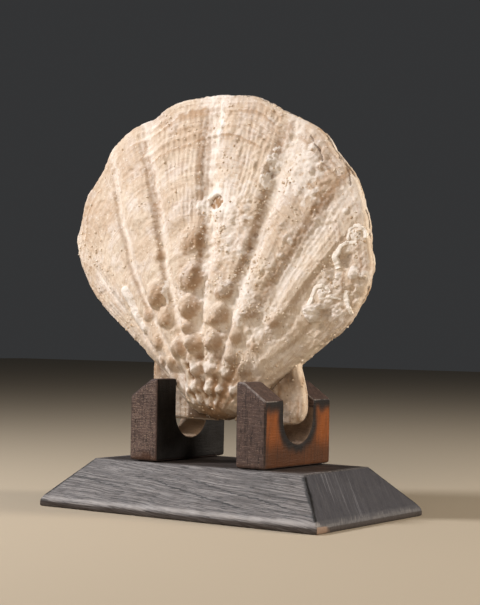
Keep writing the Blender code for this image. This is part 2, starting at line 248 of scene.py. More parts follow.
def towards(hub: Pair, points: Array) -> Array:
    """Steps 1 mm long from each point towards a hub."""
    inward = np.array(hub) - points
    return inward / np.hypot(*inward.T)[:, None]


def distance_to_path(points: Array, path: Array) -> Array:
    """Distance in mm from each point to a polyline.

    Args:
        points: (x, z) rows in mm.
        path: the polyline's (x, z) rows.

    Returns:
        One distance for each point.
    """
    nearest = np.full(len(points), np.inf)
    for start, end in zip(path, path[1:]):
        along = end - start
        t = clamp((points - start) @ along / (along @ along))
        nearest = np.minimum(nearest, np.hypot(*(points - start - t[:, None] * along).T))
    return nearest


def near_path(points: Array, path: Table, steps: int, low: float, high: float, stray: Array) -> Array:
    """A band along a path.

    Args:
        points: (x, z) rows in mm.
        path: the band's middle.
        steps: how finely each part of it is drawn.
        low: half the width that is full, in mm.
        high: half the width that it reaches.
        stray: how far its edge strays at each point.

    Returns:
        1 along the path, falling to 0 outside the band.
    """
    far = distance_to_path(points, smooth_path(path, steps))
    return 1.0 - smoothstep(low, high, far + stray)


def new_object(name: str, data: bpy.types.ID) -> Object:
    """Makes an object and links it to the scene.

    Args:
        name: the object's name.
        data: its mesh, camera or light.

    Returns:
        The object.
    """
    thing = bpy.data.objects.new(name, data)
    bpy.context.scene.collection.objects.link(thing)
    return thing


def mesh_object(
    name: str, points: Array, faces: Faces, tones: Tones, edges: Faces | None = None
) -> Object:
    """Makes a smooth-shaded object.

    Args:
        name: the piece's name.
        points: one row for each vertex, in mm.
        faces: vertex numbers, counter-clockwise seen from outside.
        tones: values to keep on the vertices for the finish to read.
        edges: vertex numbers of the edges that belong to no face.

    Returns:
        The object.
    """
    mesh = bpy.data.meshes.new(name)
    plain = [tuple(int(number) for number in face) for face in faces]
    mesh.from_pydata((np.asarray(points) * MM).tolist(), edges or [], plain)
    for tone, values in tones.items():
        layer = mesh.attributes.new(tone, "FLOAT", "POINT")
        layer.data.foreach_set("value", np.asarray(values, np.float32))
    mesh.shade_smooth()
    mesh.update()
    return new_object(name, mesh)


def evaluated(source: Object, name: str) -> bpy.types.Mesh:
    """The plain mesh that an object's modifiers make; the object is removed.

    Args:
        source: the object.
        name: the mesh's name.

    Returns:
        The mesh, which no modifier changes any more.
    """
    graph = bpy.context.evaluated_depsgraph_get()
    graph.update()
    mesh = bpy.data.meshes.new_from_object(
        source.evaluated_get(graph), preserve_all_data_layers=True, depsgraph=graph
    )
    mesh.name = name
    bpy.data.objects.remove(source)
    return mesh


def add_node(
    tree: Tree, kind: str, inputs: dict[str | int, Any] | None = None, out: str = "", **settings: Any
) -> Any:
    """Adds a node.

    Args:
        tree: where it goes.
        kind: Blender's name for the node's type.
        inputs: a value, or a socket to link from, for each input.
        out: the output wanted; without it, the first that is in use.
        settings: the node's own properties.

    Returns:
        That output, or None where the node has none.
    """
    node = tree.nodes.new(kind)
    for name, value in settings.items():
        setattr(node, name, value)
    for name, value in (inputs or {}).items():
        if isinstance(value, Socket):
            tree.links.new(value, node.inputs[name])
        else:
            node.inputs[name].default_value = value
    if out:
        return node.outputs[out]
    return next((socket for socket in node.outputs if socket.enabled), None)


# ------------------------------------------------------------------- finishes


class Pattern(Enum):
    """What a layer of colour or relief looks like: the node that draws it."""

    CLOUD = "ShaderNodeTexNoise"  # soft noise
    CELLS = "ShaderNodeTexVoronoi"  # round spots


class Lie(Enum):
    """The coordinates that a pattern follows."""

    PIECE = ()  # the piece's own axes
    GROWTH = ("growth", "fan")  # mm in from the shell's margin, and round its fan
    TIMBER = ("ring", "along")  # mm across the wood's rings, and along its grain


@dataclass(frozen=True)
class Layer:
    """One tone laid over those below it.

    tone is its colour, size its pattern's size in mm, or along each axis, low
    and high the pattern's values where it starts and is full, mask the vertex
    tone that it follows, and ruffle how much the pattern breaks up the mask.
    """

    tone: str
    size: float | Triple
    low: float
    high: float
    strength: float
    mask: str = ""
    ruffle: float = 0.0
    lie: Lie = Lie.PIECE
    detail: float = 3.0
    pattern: Pattern = Pattern.CLOUD


@dataclass(frozen=True)
class Relief:
    """Fine relief: its size and depth in mm, and the coordinates it follows."""

    size: float | Triple
    depth: float
    lie: Lie = Lie.PIECE
    detail: float = 4.0
    pattern: Pattern = Pattern.CLOUD


DULLNESS = Relief(6.0, 0.0, detail=2.0)  # where a finish is more or less dull


@dataclass(frozen=True)
class Finish:
    """A dull mineral or wooden surface, built from layers of tone and relief."""

    name: str
    base: str
    layers: tuple[Layer, ...]
    reliefs: tuple[Relief, ...]
    roughness: Pair
    specular: float = 0.3
    ior: float = 1.5

    def make(self) -> Material:
        """Builds the material.

        Returns:
            The material, with its layers in order from the base up.
        """
        material = bpy.data.materials.new(self.name)
        material.use_nodes = True
        tree = material.node_tree
        shader = tree.nodes["Principled BSDF"].inputs
        shader["Metallic"].default_value = 0.0
        shader["Specular IOR Level"].default_value = self.specular
        shader["IOR"].default_value = self.ior
        colour: Any = linear(self.base)
        for layer in self.layers:
            mixed = {0: self.share(tree, layer), 6: colour, 7: linear(layer.tone)}
            colour = add_node(tree, "ShaderNodeMix", mixed, data_type="RGBA")
        tree.links.new(colour, shader["Base Color"])
        below: dict[str, Any] = {}
        for relief in self.reliefs:
            rise = {"Distance": relief.depth * MM, "Height": self.pattern(tree, relief)}
            below = {"Normal": add_node(tree, "ShaderNodeBump", {"Strength": 1.0} | rise | below)}
        if below:
            tree.links.new(below["Normal"], shader["Normal"])
        low, high = self.roughness
        spread = {"From Min": 0.3, "From Max": 0.7, "To Min": low, "To Max": high}
        spread["Value"] = self.pattern(tree, DULLNESS)
        tree.links.new(add_node(tree, "ShaderNodeMapRange", spread), shader["Roughness"])
        return material

    def pattern(self, tree: Tree, drawn: Layer | Relief) -> Socket:
        """Adds the nodes of one pattern.

        Args:
            tree: the material's tree.
            drawn: what the pattern is for, which says its kind and its size.

        Returns:
            The socket that gives its value, about 0 to 1.
        """
        tones = [
            add_node(tree, "ShaderNodeAttribute", out="Fac", attribute_name=name)
            for name in drawn.lie.value
        ]
        if tones:
            place, unit = add_node(tree, "ShaderNodeCombineXYZ", dict(enumerate(tones))), 1.0
        else:
            place, unit = add_node(tree, "ShaderNodeTexCoord", out="Object"), MM
        scale = Vector(1.0 / (np.broadcast_to(drawn.size, 3) * unit))
        place = add_node(tree, "ShaderNodeVectorMath", {0: place, 1: scale}, operation="MULTIPLY")
        inputs = {"Vector": place, "Scale": 1.0}
        if drawn.pattern is Pattern.CLOUD:
            inputs |= {"Detail": drawn.detail, "Roughness": 0.6}
        return add_node(tree, drawn.pattern.value, inputs)

    def share(self, tree: Tree, layer: Layer) -> Socket:
        """Adds the nodes that decide where a layer shows.

        Args:
            tree: the material's tree.
            layer: the layer.

        Returns:
            The socket that gives its share, from 0 to its strength.
        """
        value = self.pattern(tree, layer)
        if layer.mask:
            mask = add_node(tree, "ShaderNodeAttribute", out="Fac", attribute_name=layer.mask)
            terms = {0: value, 1: layer.ruffle, 2: mask}
            value = add_node(tree, "ShaderNodeMath", terms, operation="MULTIPLY_ADD")
        spread = {"Value": value, "From Min": layer.low, "From Max": layer.high}
        spread["To Max"] = layer.strength
        return add_node(tree, "ShaderNodeMapRange", spread, interpolation_type="SMOOTHSTEP")


# Calcite of an old shell, weathered dull: cream, with tan where the outer
# layer is thick or worn through and chalk where silt has set on it. Some of
# the colour is painted light: the tan and a browner tone are painted shade on
# the knobs' lower sides, down the ribs' right flanks, between the knobs near
# the beak and in the pit, the dark brown is painted shade on the ears under
# the disc's edge, and the chalk is a painted highlight on the knob crowns
# near the beak.
FOSSIL_SHELL = Finish(
    name="weathered_shell_calcite",
    base="#E0D2C0",
    layers=(
        Layer("#CDB7A0", 24, 0.46, 0.64, 0.5),
        Layer("#E7E0DA", 11, 0.46, 0.64, 0.6),
        Layer("#BDA38C", (1.2, 14, 1), 0.5, 0.66, 0.5, lie=Lie.GROWTH, detail=4),
        Layer("#CDB8A3", (26, 3.4, 1), 0.5, 0.66, 0.55, lie=Lie.GROWTH, detail=4),
        Layer("#AB8B6C", 2.6, 0.3, 1.4, 0.86, mask="tan", ruffle=0.85),
        # painted shade: the ribs' right flanks, between the knobs near the beak, the beak's underside
        # and inside the pit; fine brown streaks down the ears
        Layer("#93714F", 3.4, 0.4, 1.35, 0.88, mask="hollow_and_shade", ruffle=0.7),
        Layer("#F0E9E1", 2.2, 0.45, 1.1, 0.9, mask="chalk", ruffle=0.8),
        # dark brown staining, and painted shade on the ears under the disc's edge and where the crust
        # has broken out
        Layer("#5F4935", 4, 0.5, 1.3, 0.88, mask="stain_and_shade", ruffle=0.7),
        Layer("#AE8B64", 1.9, 0.6, 0.67, 0.4, detail=5),
        Layer("#F6F1E8", 2.4, 0.2, 0.12, 0.45, pattern=Pattern.CELLS),
        Layer("#7A6550", 7, 0.07, 0.04, 0.6, pattern=Pattern.CELLS),
    ),
    reliefs=(
        Relief(1.5, 0.3),
        Relief(0.5, 0.19),
    ),
    roughness=(0.78, 0.95),
    specular=0.25,
)

# Lime laid down by tube worms: chalky white, a little browned where it thins.
WORM_LIME = Finish(
    name="worm_tube_lime",
    base="#F3ECE2",
    layers=(
        Layer("#D3C1A8", 4, 0.5, 0.66, 0.6),
        Layer("#FBF8F3", 2, 0.48, 0.66, 0.8),
    ),
    reliefs=(Relief(0.6, 0.15),),
    roughness=(0.7, 0.9),
    specular=0.3,
)

# Crumbs of the silt that filled the shell: cream grains, some browner.
SILT_CRUMB = Finish(
    name="silt_crumb",
    base="#E3D5C2",
    layers=(
        Layer("#B89C7C", 5, 0.46, 0.6, 0.8),
        Layer("#F3ECE2", 3, 0.54, 0.66, 0.8),
    ),
    reliefs=(),
    roughness=(0.8, 0.95),
    specular=0.2,
)

# Charred and brushed softwood: near black, with the harder late wood standing
# up and catching a grey light.
CHARRED_BOARD = Finish(
    name="charred_brushed_board",
    base="#5A5655",
    layers=(
        Layer("#6E6A69", 22, 0.4, 0.7, 0.3),
        Layer("#9C9896", (0.5, 40, 1), 0.47, 0.62, 0.64, lie=Lie.TIMBER, detail=3),
        Layer("#141110", (0.4, 7, 1), 0.54, 0.61, 0.75, lie=Lie.TIMBER, detail=3),
        Layer("#1C1A19", (1.8, 120, 1), 0.6, 0.66, 0.5, lie=Lie.TIMBER, detail=2),
        Layer("#434349", 8, 0.3, 1, 0.88, mask="end", ruffle=0.3),
        Layer("#A4A4AA", (0.6, 60, 1), 1.58, 1.72, 0.45, mask="end", ruffle=1, lie=Lie.TIMBER),
        Layer("#2C211B", 9, 0.55, 1, 0.75, mask="brown", ruffle=0.5),
        Layer("#0B0A09", 2, 0.5, 1.1, 0.92, mask="char", ruffle=0.4),
        # worn pale and a painted sheen along the board's lower lip
        Layer("#ACA8A6", (0.8, 16, 1), 0.8, 1.5, 0.85, mask="wear_and_sheen", ruffle=1, lie=Lie.TIMBER),
        Layer("#8F7663", 3, 0.55, 0.9, 0.85, mask="tan", ruffle=0.4),
    ),
    reliefs=(
        Relief((0.5, 16, 1), 0.26, lie=Lie.TIMBER),
        Relief(0.7, 0.1),
    ),
    roughness=(0.42, 0.6),
    specular=0.4,
)

# The same char on sawn blocks: saw strokes across the front and back, and
# wood that is only scorched, orange to brown, on the outer side. The face
# towards the shell is painted near black as shade, and the arrises carry a
# painted sheen as well as wear.
CHARRED_BLOCK = Finish(
    name="scorched_sawn_block",
    base="#4B3D39",
    layers=(
        Layer("#66534B", 3, 0.45, 0.65, 0.5, detail=4),
        Layer("#857269", (7, 8, 0.4), 1.5, 1.7, 0.42, mask="sawn", ruffle=1, detail=2),
        Layer("#14100F", (0.8, 0.8, 7), 0.56, 0.64, 0.65, detail=3),
        Layer("#A08C7C", (0.8, 6, 0.4), 1.62, 1.7, 0.42, mask="sawn", ruffle=1, detail=1),
        # painted shade: the face towards the shell made near black
        Layer("#080707", 9, 0.1, 0.8, 0.96, mask="inner_face_shade", ruffle=0.2),
        Layer("#422611", 6, 0.1, 1, 0.97, mask="bare", ruffle=0.2),
        Layer("#864818", (12, 12, 24), 0.25, 1.3, 0.95, mask="glow", ruffle=0.35),
        Layer("#2A180F", (0.8, 30, 1), 1.45, 1.75, 0.6, mask="bare", ruffle=1, lie=Lie.TIMBER),
        Layer("#110F10", (3, 3, 9), 0.2, 1.1, 0.95, mask="char", ruffle=0.35),
        Layer("#A08B76", 3, 0.3, 1.2, 0.92, mask="dust", ruffle=0.4),
        # worn pale and a painted sheen along the upper arrises
        Layer("#948C88", 1.6, 1.05, 1.75, 0.75, mask="wear_and_sheen", ruffle=1, detail=4),
    ),
    reliefs=(
        Relief((4, 9, 0.7), 0.28),
        Relief(0.7, 0.16),
    ),
    roughness=(0.5, 0.72),
    specular=0.24,
)


# ---------------------------------------------------------------------- shell


class Facing(Enum):
    """Which way a valve's outer surface faces along Y."""

    FRONT = -1.0
    BACK = 1.0


@dataclass(frozen=True)
class Groove:
    """A valley between two ribs.

    bearing is in degrees from upright, depth a share of the ribs' height,
    left and right the widths of its banks in degrees, and bend how far the
    bearing strays, as (share of the way out, degrees) pairs.
    """

    bearing: float
    depth: float
    left: float
    right: float
    bend: Table = ((0.0, 0.0), (1.0, 0.0))


@dataclass(frozen=True)
class Knob:
    """A knob on a rib: bearing in degrees, and reach, radius and rise in mm."""

    bearing: float
    reach: float
    radius: float
    rise: float


@dataclass(frozen=True)
class Ledge:
    """An old margin: share of the way out, drop in mm, and its ends along X."""

    share: float
    drop: float
    left: float
    right: float


@dataclass
class StarPatch:
    """A closed outline around a hub, filled with a square grid bent to fit it.

    points holds the grid's (x, z) rows, quads its faces seen from -Y, rim the
    numbers of the points on the outline in order, and share each point's share
    of the way from the hub to the outline.
    """

    outline: Array
    hub: Pair
    cells: int

    def __post_init__(self) -> None:
        """Lays the grid."""
        count = self.cells + 1
        steps = np.linspace(-1.0, 1.0, count)
        across, up = np.meshgrid(steps, steps)
        wide = np.abs(across) > np.abs(up)
        safe_a = np.where(across == 0, 1.0, across)
        safe_u = np.where(up == 0, 1.0, up)
        eighth = math.pi / 4
        turn = np.where(wide, eighth * up / safe_a, math.pi / 2 - eighth * across / safe_u)
        radius = np.where(wide, across, up)
        x, z = radius * np.cos(turn), radius * np.sin(turn)
        share = np.hypot(x, z)
        reach = share * self.reach(np.degrees(np.arctan2(x, z)))
        unit = np.where(share == 0, 1.0, share)
        rows = np.stack([self.hub[0] + reach * x / unit, self.hub[1] + reach * z / unit], -1)
        self.points, self.share = rows.reshape(-1, 2), share.ravel()
        number = np.arange(count * count).reshape(count, count)
        quads = np.stack([number[:-1, :-1], number[:-1, 1:], number[1:, 1:], number[1:, :-1]], -1)
        self.quads = quads.reshape(-1, 4).tolist()
        sides = [number[0, :-1], number[:-1, -1], number[-1, :0:-1], number[:0:-1, 0]]
        self.rim = np.concatenate(sides)

    def reach(self, bearing: Array) -> Array:
        """Distance from the hub to the outline.

        Args:
            bearing: degrees from upright, seen from the hub.

        Returns:
            One distance for each bearing.
        """
        across, up = (self.outline - self.hub).T
        bearings = np.degrees(np.arctan2(across, up))
        order = np.argsort(bearings)
        return np.interp(bearing, bearings[order], np.hypot(across, up)[order], period=360.0)


@dataclass
class Skin:
    """Points, faces and tones of a closed shape while it is being built."""

    points: Array
    faces: Faces
    tones: Tones

    def joined(self, other: Skin) -> Skin:
        """This skin with another beside it.

        Args:
            other: the other skin, with the same tones.

        Returns:
            Both, as one skin.
        """
        start = len(self.points)
        moved = [tuple(number + start for number in face) for face in other.faces]
        tones = {name: np.concatenate([self.tones[name], other.tones[name]]) for name in self.tones}
        return Skin(np.vstack([self.points, other.points]), [*self.faces, *moved], tones)


@dataclass
class Valve:
    """One valve: a ribbed disc with an ear on each side of its beak.

    seed starts its noises, each of which adds a number of its own, and cells
    is how finely the disc is drawn.
    """

    facing: Facing
    grooves: tuple[Groove, ...]
    knobs: tuple[Knob, ...]
    ledges: tuple[Ledge, ...]
    seed: int
    cells: int
    beak: Pair = (-3.0, 43.0)
    hub: Pair = (-10.0, 122.0)
    side_bearing: float = 56.5
    margin: Table = (
        (41, 72.2), (53.4, 81.2), (65, 89.2), (74.8, 102.8), (78.7, 115), (77.4, 127),
        (75.6, 140), (69.2, 157.3), (59, 169.6), (50.8, 180.2), (32, 190), (12, 199.4),
        (-12, 201.7), (-36, 199.6), (-50, 193.2), (-63.8, 188), (-76.2, 179.2),
        (-82.2, 167.6), (-91.8, 156.6), (-96, 143.5), (-98.9, 130), (-90.6, 111.4),
        (-81, 99.6), (-58.8, 82.4), (-46.8, 72.2),
    )
    nose: Table = (
        (-35, 61.6), (-23.5, 52.9), (-13.5, 46.2), (-3, 43.2), (7.5, 46.3), (17.5, 52.9),
        (29, 61.8),
    )
    crest: Table = (
        (0, 8), (0.07, 12.5), (0.16, 15.4), (0.3, 16), (0.45, 13.8), (0.6, 10.4),
        (0.75, 7), (0.9, 4), (1, 2.2),
    )
    right_side: Table = (
        (0, 7), (0.1, 10), (0.2, 11.6), (0.34, 11.4), (0.45, 7.5), (0.56, 4),
        (0.75, 3), (0.9, 2.6), (1, 2.2),
    )
    left_side: Table = (
        (0, 7), (0.1, 10.6), (0.2, 11.2), (0.28, 7.2), (0.37, 4), (0.56, 3),
        (0.75, 2.7), (0.9, 2.4), (1, 2.1),
    )
    rib_height: float = 3.0
    rib_fade: Table = (
        (0, 0.1), (0.1, 0.4), (0.2, 0.62), (0.32, 0.8), (0.5, 1), (0.75, 0.92),
        (0.9, 0.55), (0.97, 0.22), (1, 0.08),
    )
    riblet_pitch: float = 1.25  # degrees
    riblet_height: float = 0.34
    strand_height: float = 0.3  # the coarser riblets that they branch from
    rings: float = 25.0  # growth lines, closer together as the animal aged
    ring_height: float = 0.5
    nose_round: float = 8.0  # how far the edge is rounded over at the beak
    edge_round: float = 1.1  # and along the margin
    seat_height: float = 12.1  # how far the notches let it bulge
    inner: float = 0.03  # the flat inner face, off the hinge plane

    def __post_init__(self) -> None:
        """Works out the outline and the table of distances from the beak."""
        edge = smooth_path(self.margin, 40)
        flank = smooth_path((tuple(edge[-1]), *self.nose, tuple(edge[0])), 16)[1:-1]
        outline = np.vstack([edge, flank])
        chips = clamp(layered(outline, 7.0, self.seed + 50, 4))
        chips += 0.45 * clamp(layered(outline, 1.9, self.seed + 55, 2))
        inward = towards(self.hub, outline)
        outline = densified(outline + inward * 0.8 * chips[:, None], 0.5)
        self.patch = StarPatch(outline, self.hub, self.cells)
        bearing, reach = self.polar(edge)
        far = reach > 82.0
        order = np.argsort(bearing[far])
        self.reaches = (bearing[far][order], reach[far][order])

    def polar(self, points: Array) -> tuple[Array, Array]:
        """Bearing in degrees and distance of points seen from the beak."""
        across, up = (points - self.beak).T
        return np.degrees(np.arctan2(across, up)), np.hypot(across, up)

    def at(self, bearing: float, reach: float) -> Array:
        """The (x, z) point at a bearing and distance from the beak."""
        turn = math.radians(bearing)
        return np.array(self.beak) + reach * np.array([math.sin(turn), math.cos(turn)])

    def share(self, bearing: Array, reach: Array) -> Array:
        """Share of the way from the beak to the margin."""
        return clamp(reach / np.interp(bearing, *self.reaches))

    def valleys(self, bearing: Array, share: Array) -> tuple[Array, Array]:
        """The grooves between the ribs.

        Args:
            bearing: degrees from upright.
            share: share of the way out.

        Returns:
            How deep each point lies, from 0 on top of a rib to 1 in a full
            groove, and how far it is on a rib's steep right bank.
        """
        crest, bank_side = np.ones_like(bearing), np.zeros_like(bearing)
        spread = 1.0 + 1.3 * clamp(1.0 - share / 0.55)
        for groove in self.grooves:
            away = bearing - groove.bearing - read_profile(groove.bend, share)
            width = np.where(away < 0, groove.left, groove.right) * spread
            near = clamp(np.abs(away) / width)
            crest *= 1.0 - groove.depth * np.cos(near * math.pi / 2) ** 2
            steep = np.where(away < 0, groove.depth * np.sin(near * math.pi) ** 2, 0.0)
            bank_side = np.maximum(bank_side, steep)
        return 1.0 - crest, bank_side

    def knob_relief(self, points: Array) -> tuple[Array, Array, Array]:
        """The knobs: steep towards the beak and drawn out towards the margin.

        Args:
            points: (x, z) rows.

        Returns:
            Their height in mm, how far each point is on a knob's lower side,
            which is tan and painted shade, and how far it is on the pale crown of
            a knob near the beak, which is chalk and a painted highlight.
        """
        height, under, crown = (np.zeros(len(points)) for _ in range(3))
        ragged = 1.0 + 0.15 * layered(points, 3.8, self.seed + 40)
        for knob in self.knobs:
            middle = self.at(knob.bearing, knob.reach)
            outward = (middle - self.beak) / knob.reach
            offset = points - middle
            along = offset @ outward
            across = offset @ np.array([outward[1], -outward[0]])
            radius = 1.1 * knob.radius
            beakward = 1.0 - float(smoothstep(22.0, 42.0, knob.reach))
            blend = smoothstep(-0.4, 1.0, along / radius)
            length = radius * (0.82 + 0.2 * blend + 0.55 * beakward * blend)
            away = np.hypot(along / length, across / radius) * ragged
            cap = clamp(1.0 - away**2) ** (0.85 + 0.35 * blend)
            height = np.hypot(height, 0.93 * knob.rise * cap)
            # the knob's lower side, away from the light, where painted shade is laid
            lower = smoothstep(-0.9, 0.9, (across * 0.9 - along) / radius)
            # tan over the whole knob, deeper on its lower side as painted shade
            tan_and_lower_shade = min(1.0, 0.3 + knob.radius / 9.0) * (0.28 + 0.56 * lower)
            under = np.maximum(under, tan_and_lower_shade * smoothstep(0.0, 0.6, cap))
            # a painted highlight on the knob's upper, lit side, along with its chalk
            pale = (1.0 - 0.9 * lower) * (0.35 + 0.4 * ragged)
            crown = np.maximum(crown, beakward * cap * pale)
        return height, under, crown

    def rounding(self, points: Array, rim_share: Array, reach: Array) -> Array:
        """How far the surface dips where it turns over the edge.

        Args:
            points: (x, z) rows in mm.
            rim_share: each one's share of the way from the hub to the edge.
            reach: each one's distance from the beak.

        Returns:
            The dip in mm.
        """
        offset = points - self.hub
        bearing = np.degrees(np.arctan2(*offset.T))
        inset = self.patch.reach(bearing) * (1.0 - rim_share)
        radius = self.edge_round + (self.nose_round - self.edge_round) * bell(reach, 22.0)
        return round_over(inset, radius)

    def surface(self, points: Array, rim_share: Array) -> tuple[Array, Tones]:
        """The disc's outer surface.

        Args:
            points: (x, z) rows.
            rim_share: each one's share of the way from the hub to the edge.

        Returns:
            Height off the hinge plane, and the tones that the finish reads.
        """
        bearing, reach = self.polar(points)
        bearing = np.clip(bearing, -self.side_bearing, self.side_bearing)
        share = self.share(bearing, reach)
        across = np.abs(bearing) / self.side_bearing
        side = np.where(
            bearing > 0, read_profile(self.right_side, share), read_profile(self.left_side, share)
        )
        height = side + (read_profile(self.crest, share) - side) * (1.0 - across**2.3) ** 0.8
        waver = 0.7 * wander(points, 16.0, self.seed)
        valley, bank = self.valleys(bearing + waver, share)
        bumpy = 1.0 + 0.25 * layered(points, 13.0, self.seed + 8, 2)
        rib = self.rib_height * read_profile(self.rib_fade, share) * bumpy
        rib *= 1.0 - 0.32 * smoothstep(24.0, 40.0, bearing)
        height += rib * (1 - valley) * (1 - across**8)
        knobs, under, crown = self.knob_relief(points)
        height += knobs + 0.3 * np.minimum(1.0, knobs / 1.5) * layered(points, 2.4, self.seed + 42)
        height -= 0.5 * np.minimum(1.0, knobs / 2.0) * grains(points, 2.6, self.seed + 44, 0.3)
        for ledge in self.ledges:
            line = share + 0.006 * wander(points, 7.0, self.seed + 3)
            inset = np.minimum(points[:, 0] - ledge.left, ledge.right - points[:, 0])
            step = smoothstep(ledge.share, ledge.share + 0.008, line)
            height -= ledge.drop * clamp(inset / 6) * step
        rim = 1.0 - 0.75 * smoothstep(0.955, 1.0, share)
        steps, band = self.growth(points, share)
        # painted shade down the ribs' steep right banks
        shaded = 0.75 * bank * smoothstep(0.3, 0.5, share) * smoothstep(1.0, 0.86, share)
        pale = smoothstep(24.0, 46.0, reach)
        aged = smoothstep(-0.6, 0.5, wander(points, 26.0, self.seed + 19))
        aged = smoothstep(0.76, 0.9, share) * aged
        # painted shade between the knobs near the beak
        shade_between_knobs = (1.0 - pale) * (0.1 + 1.1 * valley) * (1.0 - 0.85 * smoothstep(0.5, 3.0, knobs))
        silted = 0.42 * valley * (1.0 - np.minimum(1.0, 1.5 * under))
        height += rim * (self.fine_relief(points, bearing, share) + steps)
        tones = {
            "growth": (1.0 - share) * np.interp(bearing, *self.reaches),
            "fan": np.radians(bearing) * 100.0,
            # tan, partly painted shade on the knobs' lower sides
            "tan": np.maximum(under, 0.15 * (1 - valley) + 0.7 * band + 0.14 * aged),
            # painted shade on the right banks and between the knobs, darker towards the beak's
            # underside
            "hollow_and_shade": np.maximum(shaded, np.maximum(1.5 - reach / 11.0, shade_between_knobs)),
            # chalk silt, and a painted highlight on the knob crowns near the beak
            "chalk": np.maximum(silted * pale, 0.9 * crown),
            "stain_and_shade": np.zeros(len(points)),
            "crumb": self.crumbs(points),
        }
        height = self.marks(points, height, tones)
        height = self.seated(points, height)
        dip = self.rounding(points, rim_share, reach)
        height -= dip * (1.0 + 0.3 * layered(points, 3.6, self.seed + 14))
        return np.maximum(height, self.inner + 0.4), tones

    def seated(self, points: Array, height: Array) -> Array:
        """Eases the height off where the notches leave no room for more.

        Args:
            points: (x, z) rows in mm.
            height: each one's height off the hinge plane.

        Returns:
            The height that fits.
        """
        block_top, block_inner, softness = 66.0, 18.5, 0.9
        room = self.seat_height + 0.8 * np.maximum(0.0, points[:, 1] - block_top)
        room += 1.2 * np.maximum(0.0, block_inner - np.abs(points[:, 0]))
        return room - softness * np.logaddexp(0.0, (room - height) / softness)

    def growth(self, points: Array, share: Array) -> tuple[Array, Array]:
        """The growth steps: each old margin stands a little proud of the next.

        Args:
            points: (x, z) rows.
            share: each one's share of the way out.

        Returns:
            Height in mm, and how far each point is in the dark band at a step.
        """
        lines = self.rings * share**1.5 + 0.7 * layered(points, 30.0, self.seed + 16, 2)
        phase = lines - np.floor(lines)
        here = smoothstep(-0.5, 0.3, wander(points, (34.0, 24.0), self.seed + 17))
        own = hashed(self.seed + 18, np.floor(lines).astype(np.int64)) ** 2
        strong = smoothstep(0.5, 0.86, share) * (0.2 + 0.8 * here) * (0.15 + 1.5 * own)
        band = strong * phase**3 * smoothstep(0.7, 0.85, share)
        return self.ring_height * phase**2.0 * (0.2 + strong), band

    def fine_relief(self, points: Array, bearing: Array, share: Array) -> Array:
        """Riblets, crust and worn places.

        Args:
            points: (x, z) rows in mm.
            bearing: each one's bearing from the beak, in degrees.
            share: each one's share of the way out.

        Returns:
            Their height in mm.
        """
        strayed = bearing + 0.35 * wander(points, 11.0, self.seed + 5)
        turns = 2 * math.pi * strayed / self.riblet_pitch
        patchy = 0.5 + 0.5 * smoothstep(-0.5, 0.5, wander(points, 18.0, self.seed + 6))
        height = self.riblet_height * (0.5 + 0.5 * np.cos(turns)) * smoothstep(0.45, 0.7, share)
        rightward = 0.3 + 0.7 * smoothstep(-5.0, 25.0, bearing)
        strand = (0.5 + 0.5 * np.cos(turns / 2)) * smoothstep(0.34, 0.5, share)
        height += self.strand_height * strand * rightward
        height *= patchy
        lines = np.stack([share * 150.0, bearing * 1.6], 1)
        height += 0.16 * layered(lines, (2.4, 20.0), self.seed + 9)
        crusty = smoothstep(-0.2, 0.6, layered(points, 14.0, self.seed + 20, 2))
        crusty *= smoothstep(-60.0, 10.0, points[:, 0])
        worn = 0.8 * smoothstep(0.3, 0.12, share)
        for rise, size, key in ((0.45, 11.0, 12), (worn, 4.2, 13), (0.1 + 0.3 * crusty, 2.6, 15)):
            height += rise * layered(points, size, self.seed + key)
        for rise, cell, key, filled in (
            (0.5 * crusty, 2.3, 30, 0.5), (0.3, 1.7, 34, 0.15),  # crust and grit
            (0.8 * crusty**2, 4.2, 36, 0.4), (-0.45, 3.6, 38, 0.08),  # clods and pits
        ):
            height += rise * grains(points, cell, self.seed + key, filled)
        return height

    def crumbs(self, points: Array) -> Array:
        """Where crumbs of silt stick to the shell, as shares of the fullest cover."""
        patchy = smoothstep(-0.2, 0.8, layered(points, 12.0, self.seed + 90, 3))
        return 0.04 + 0.96 * patchy**2

    def marks(self, points: Array, height: Array, tones: Tones) -> Array:
        """Adds what only one valve carries; the plain valve has nothing more."""
        return height

    def disc(self) -> Skin:
        """The disc as a closed skin: outer surface, wall down to the hinge plane, inner face."""
        height, tones = self.surface(self.patch.points, self.patch.share)
        return self.closed(self.patch, height, tones, levels=9)

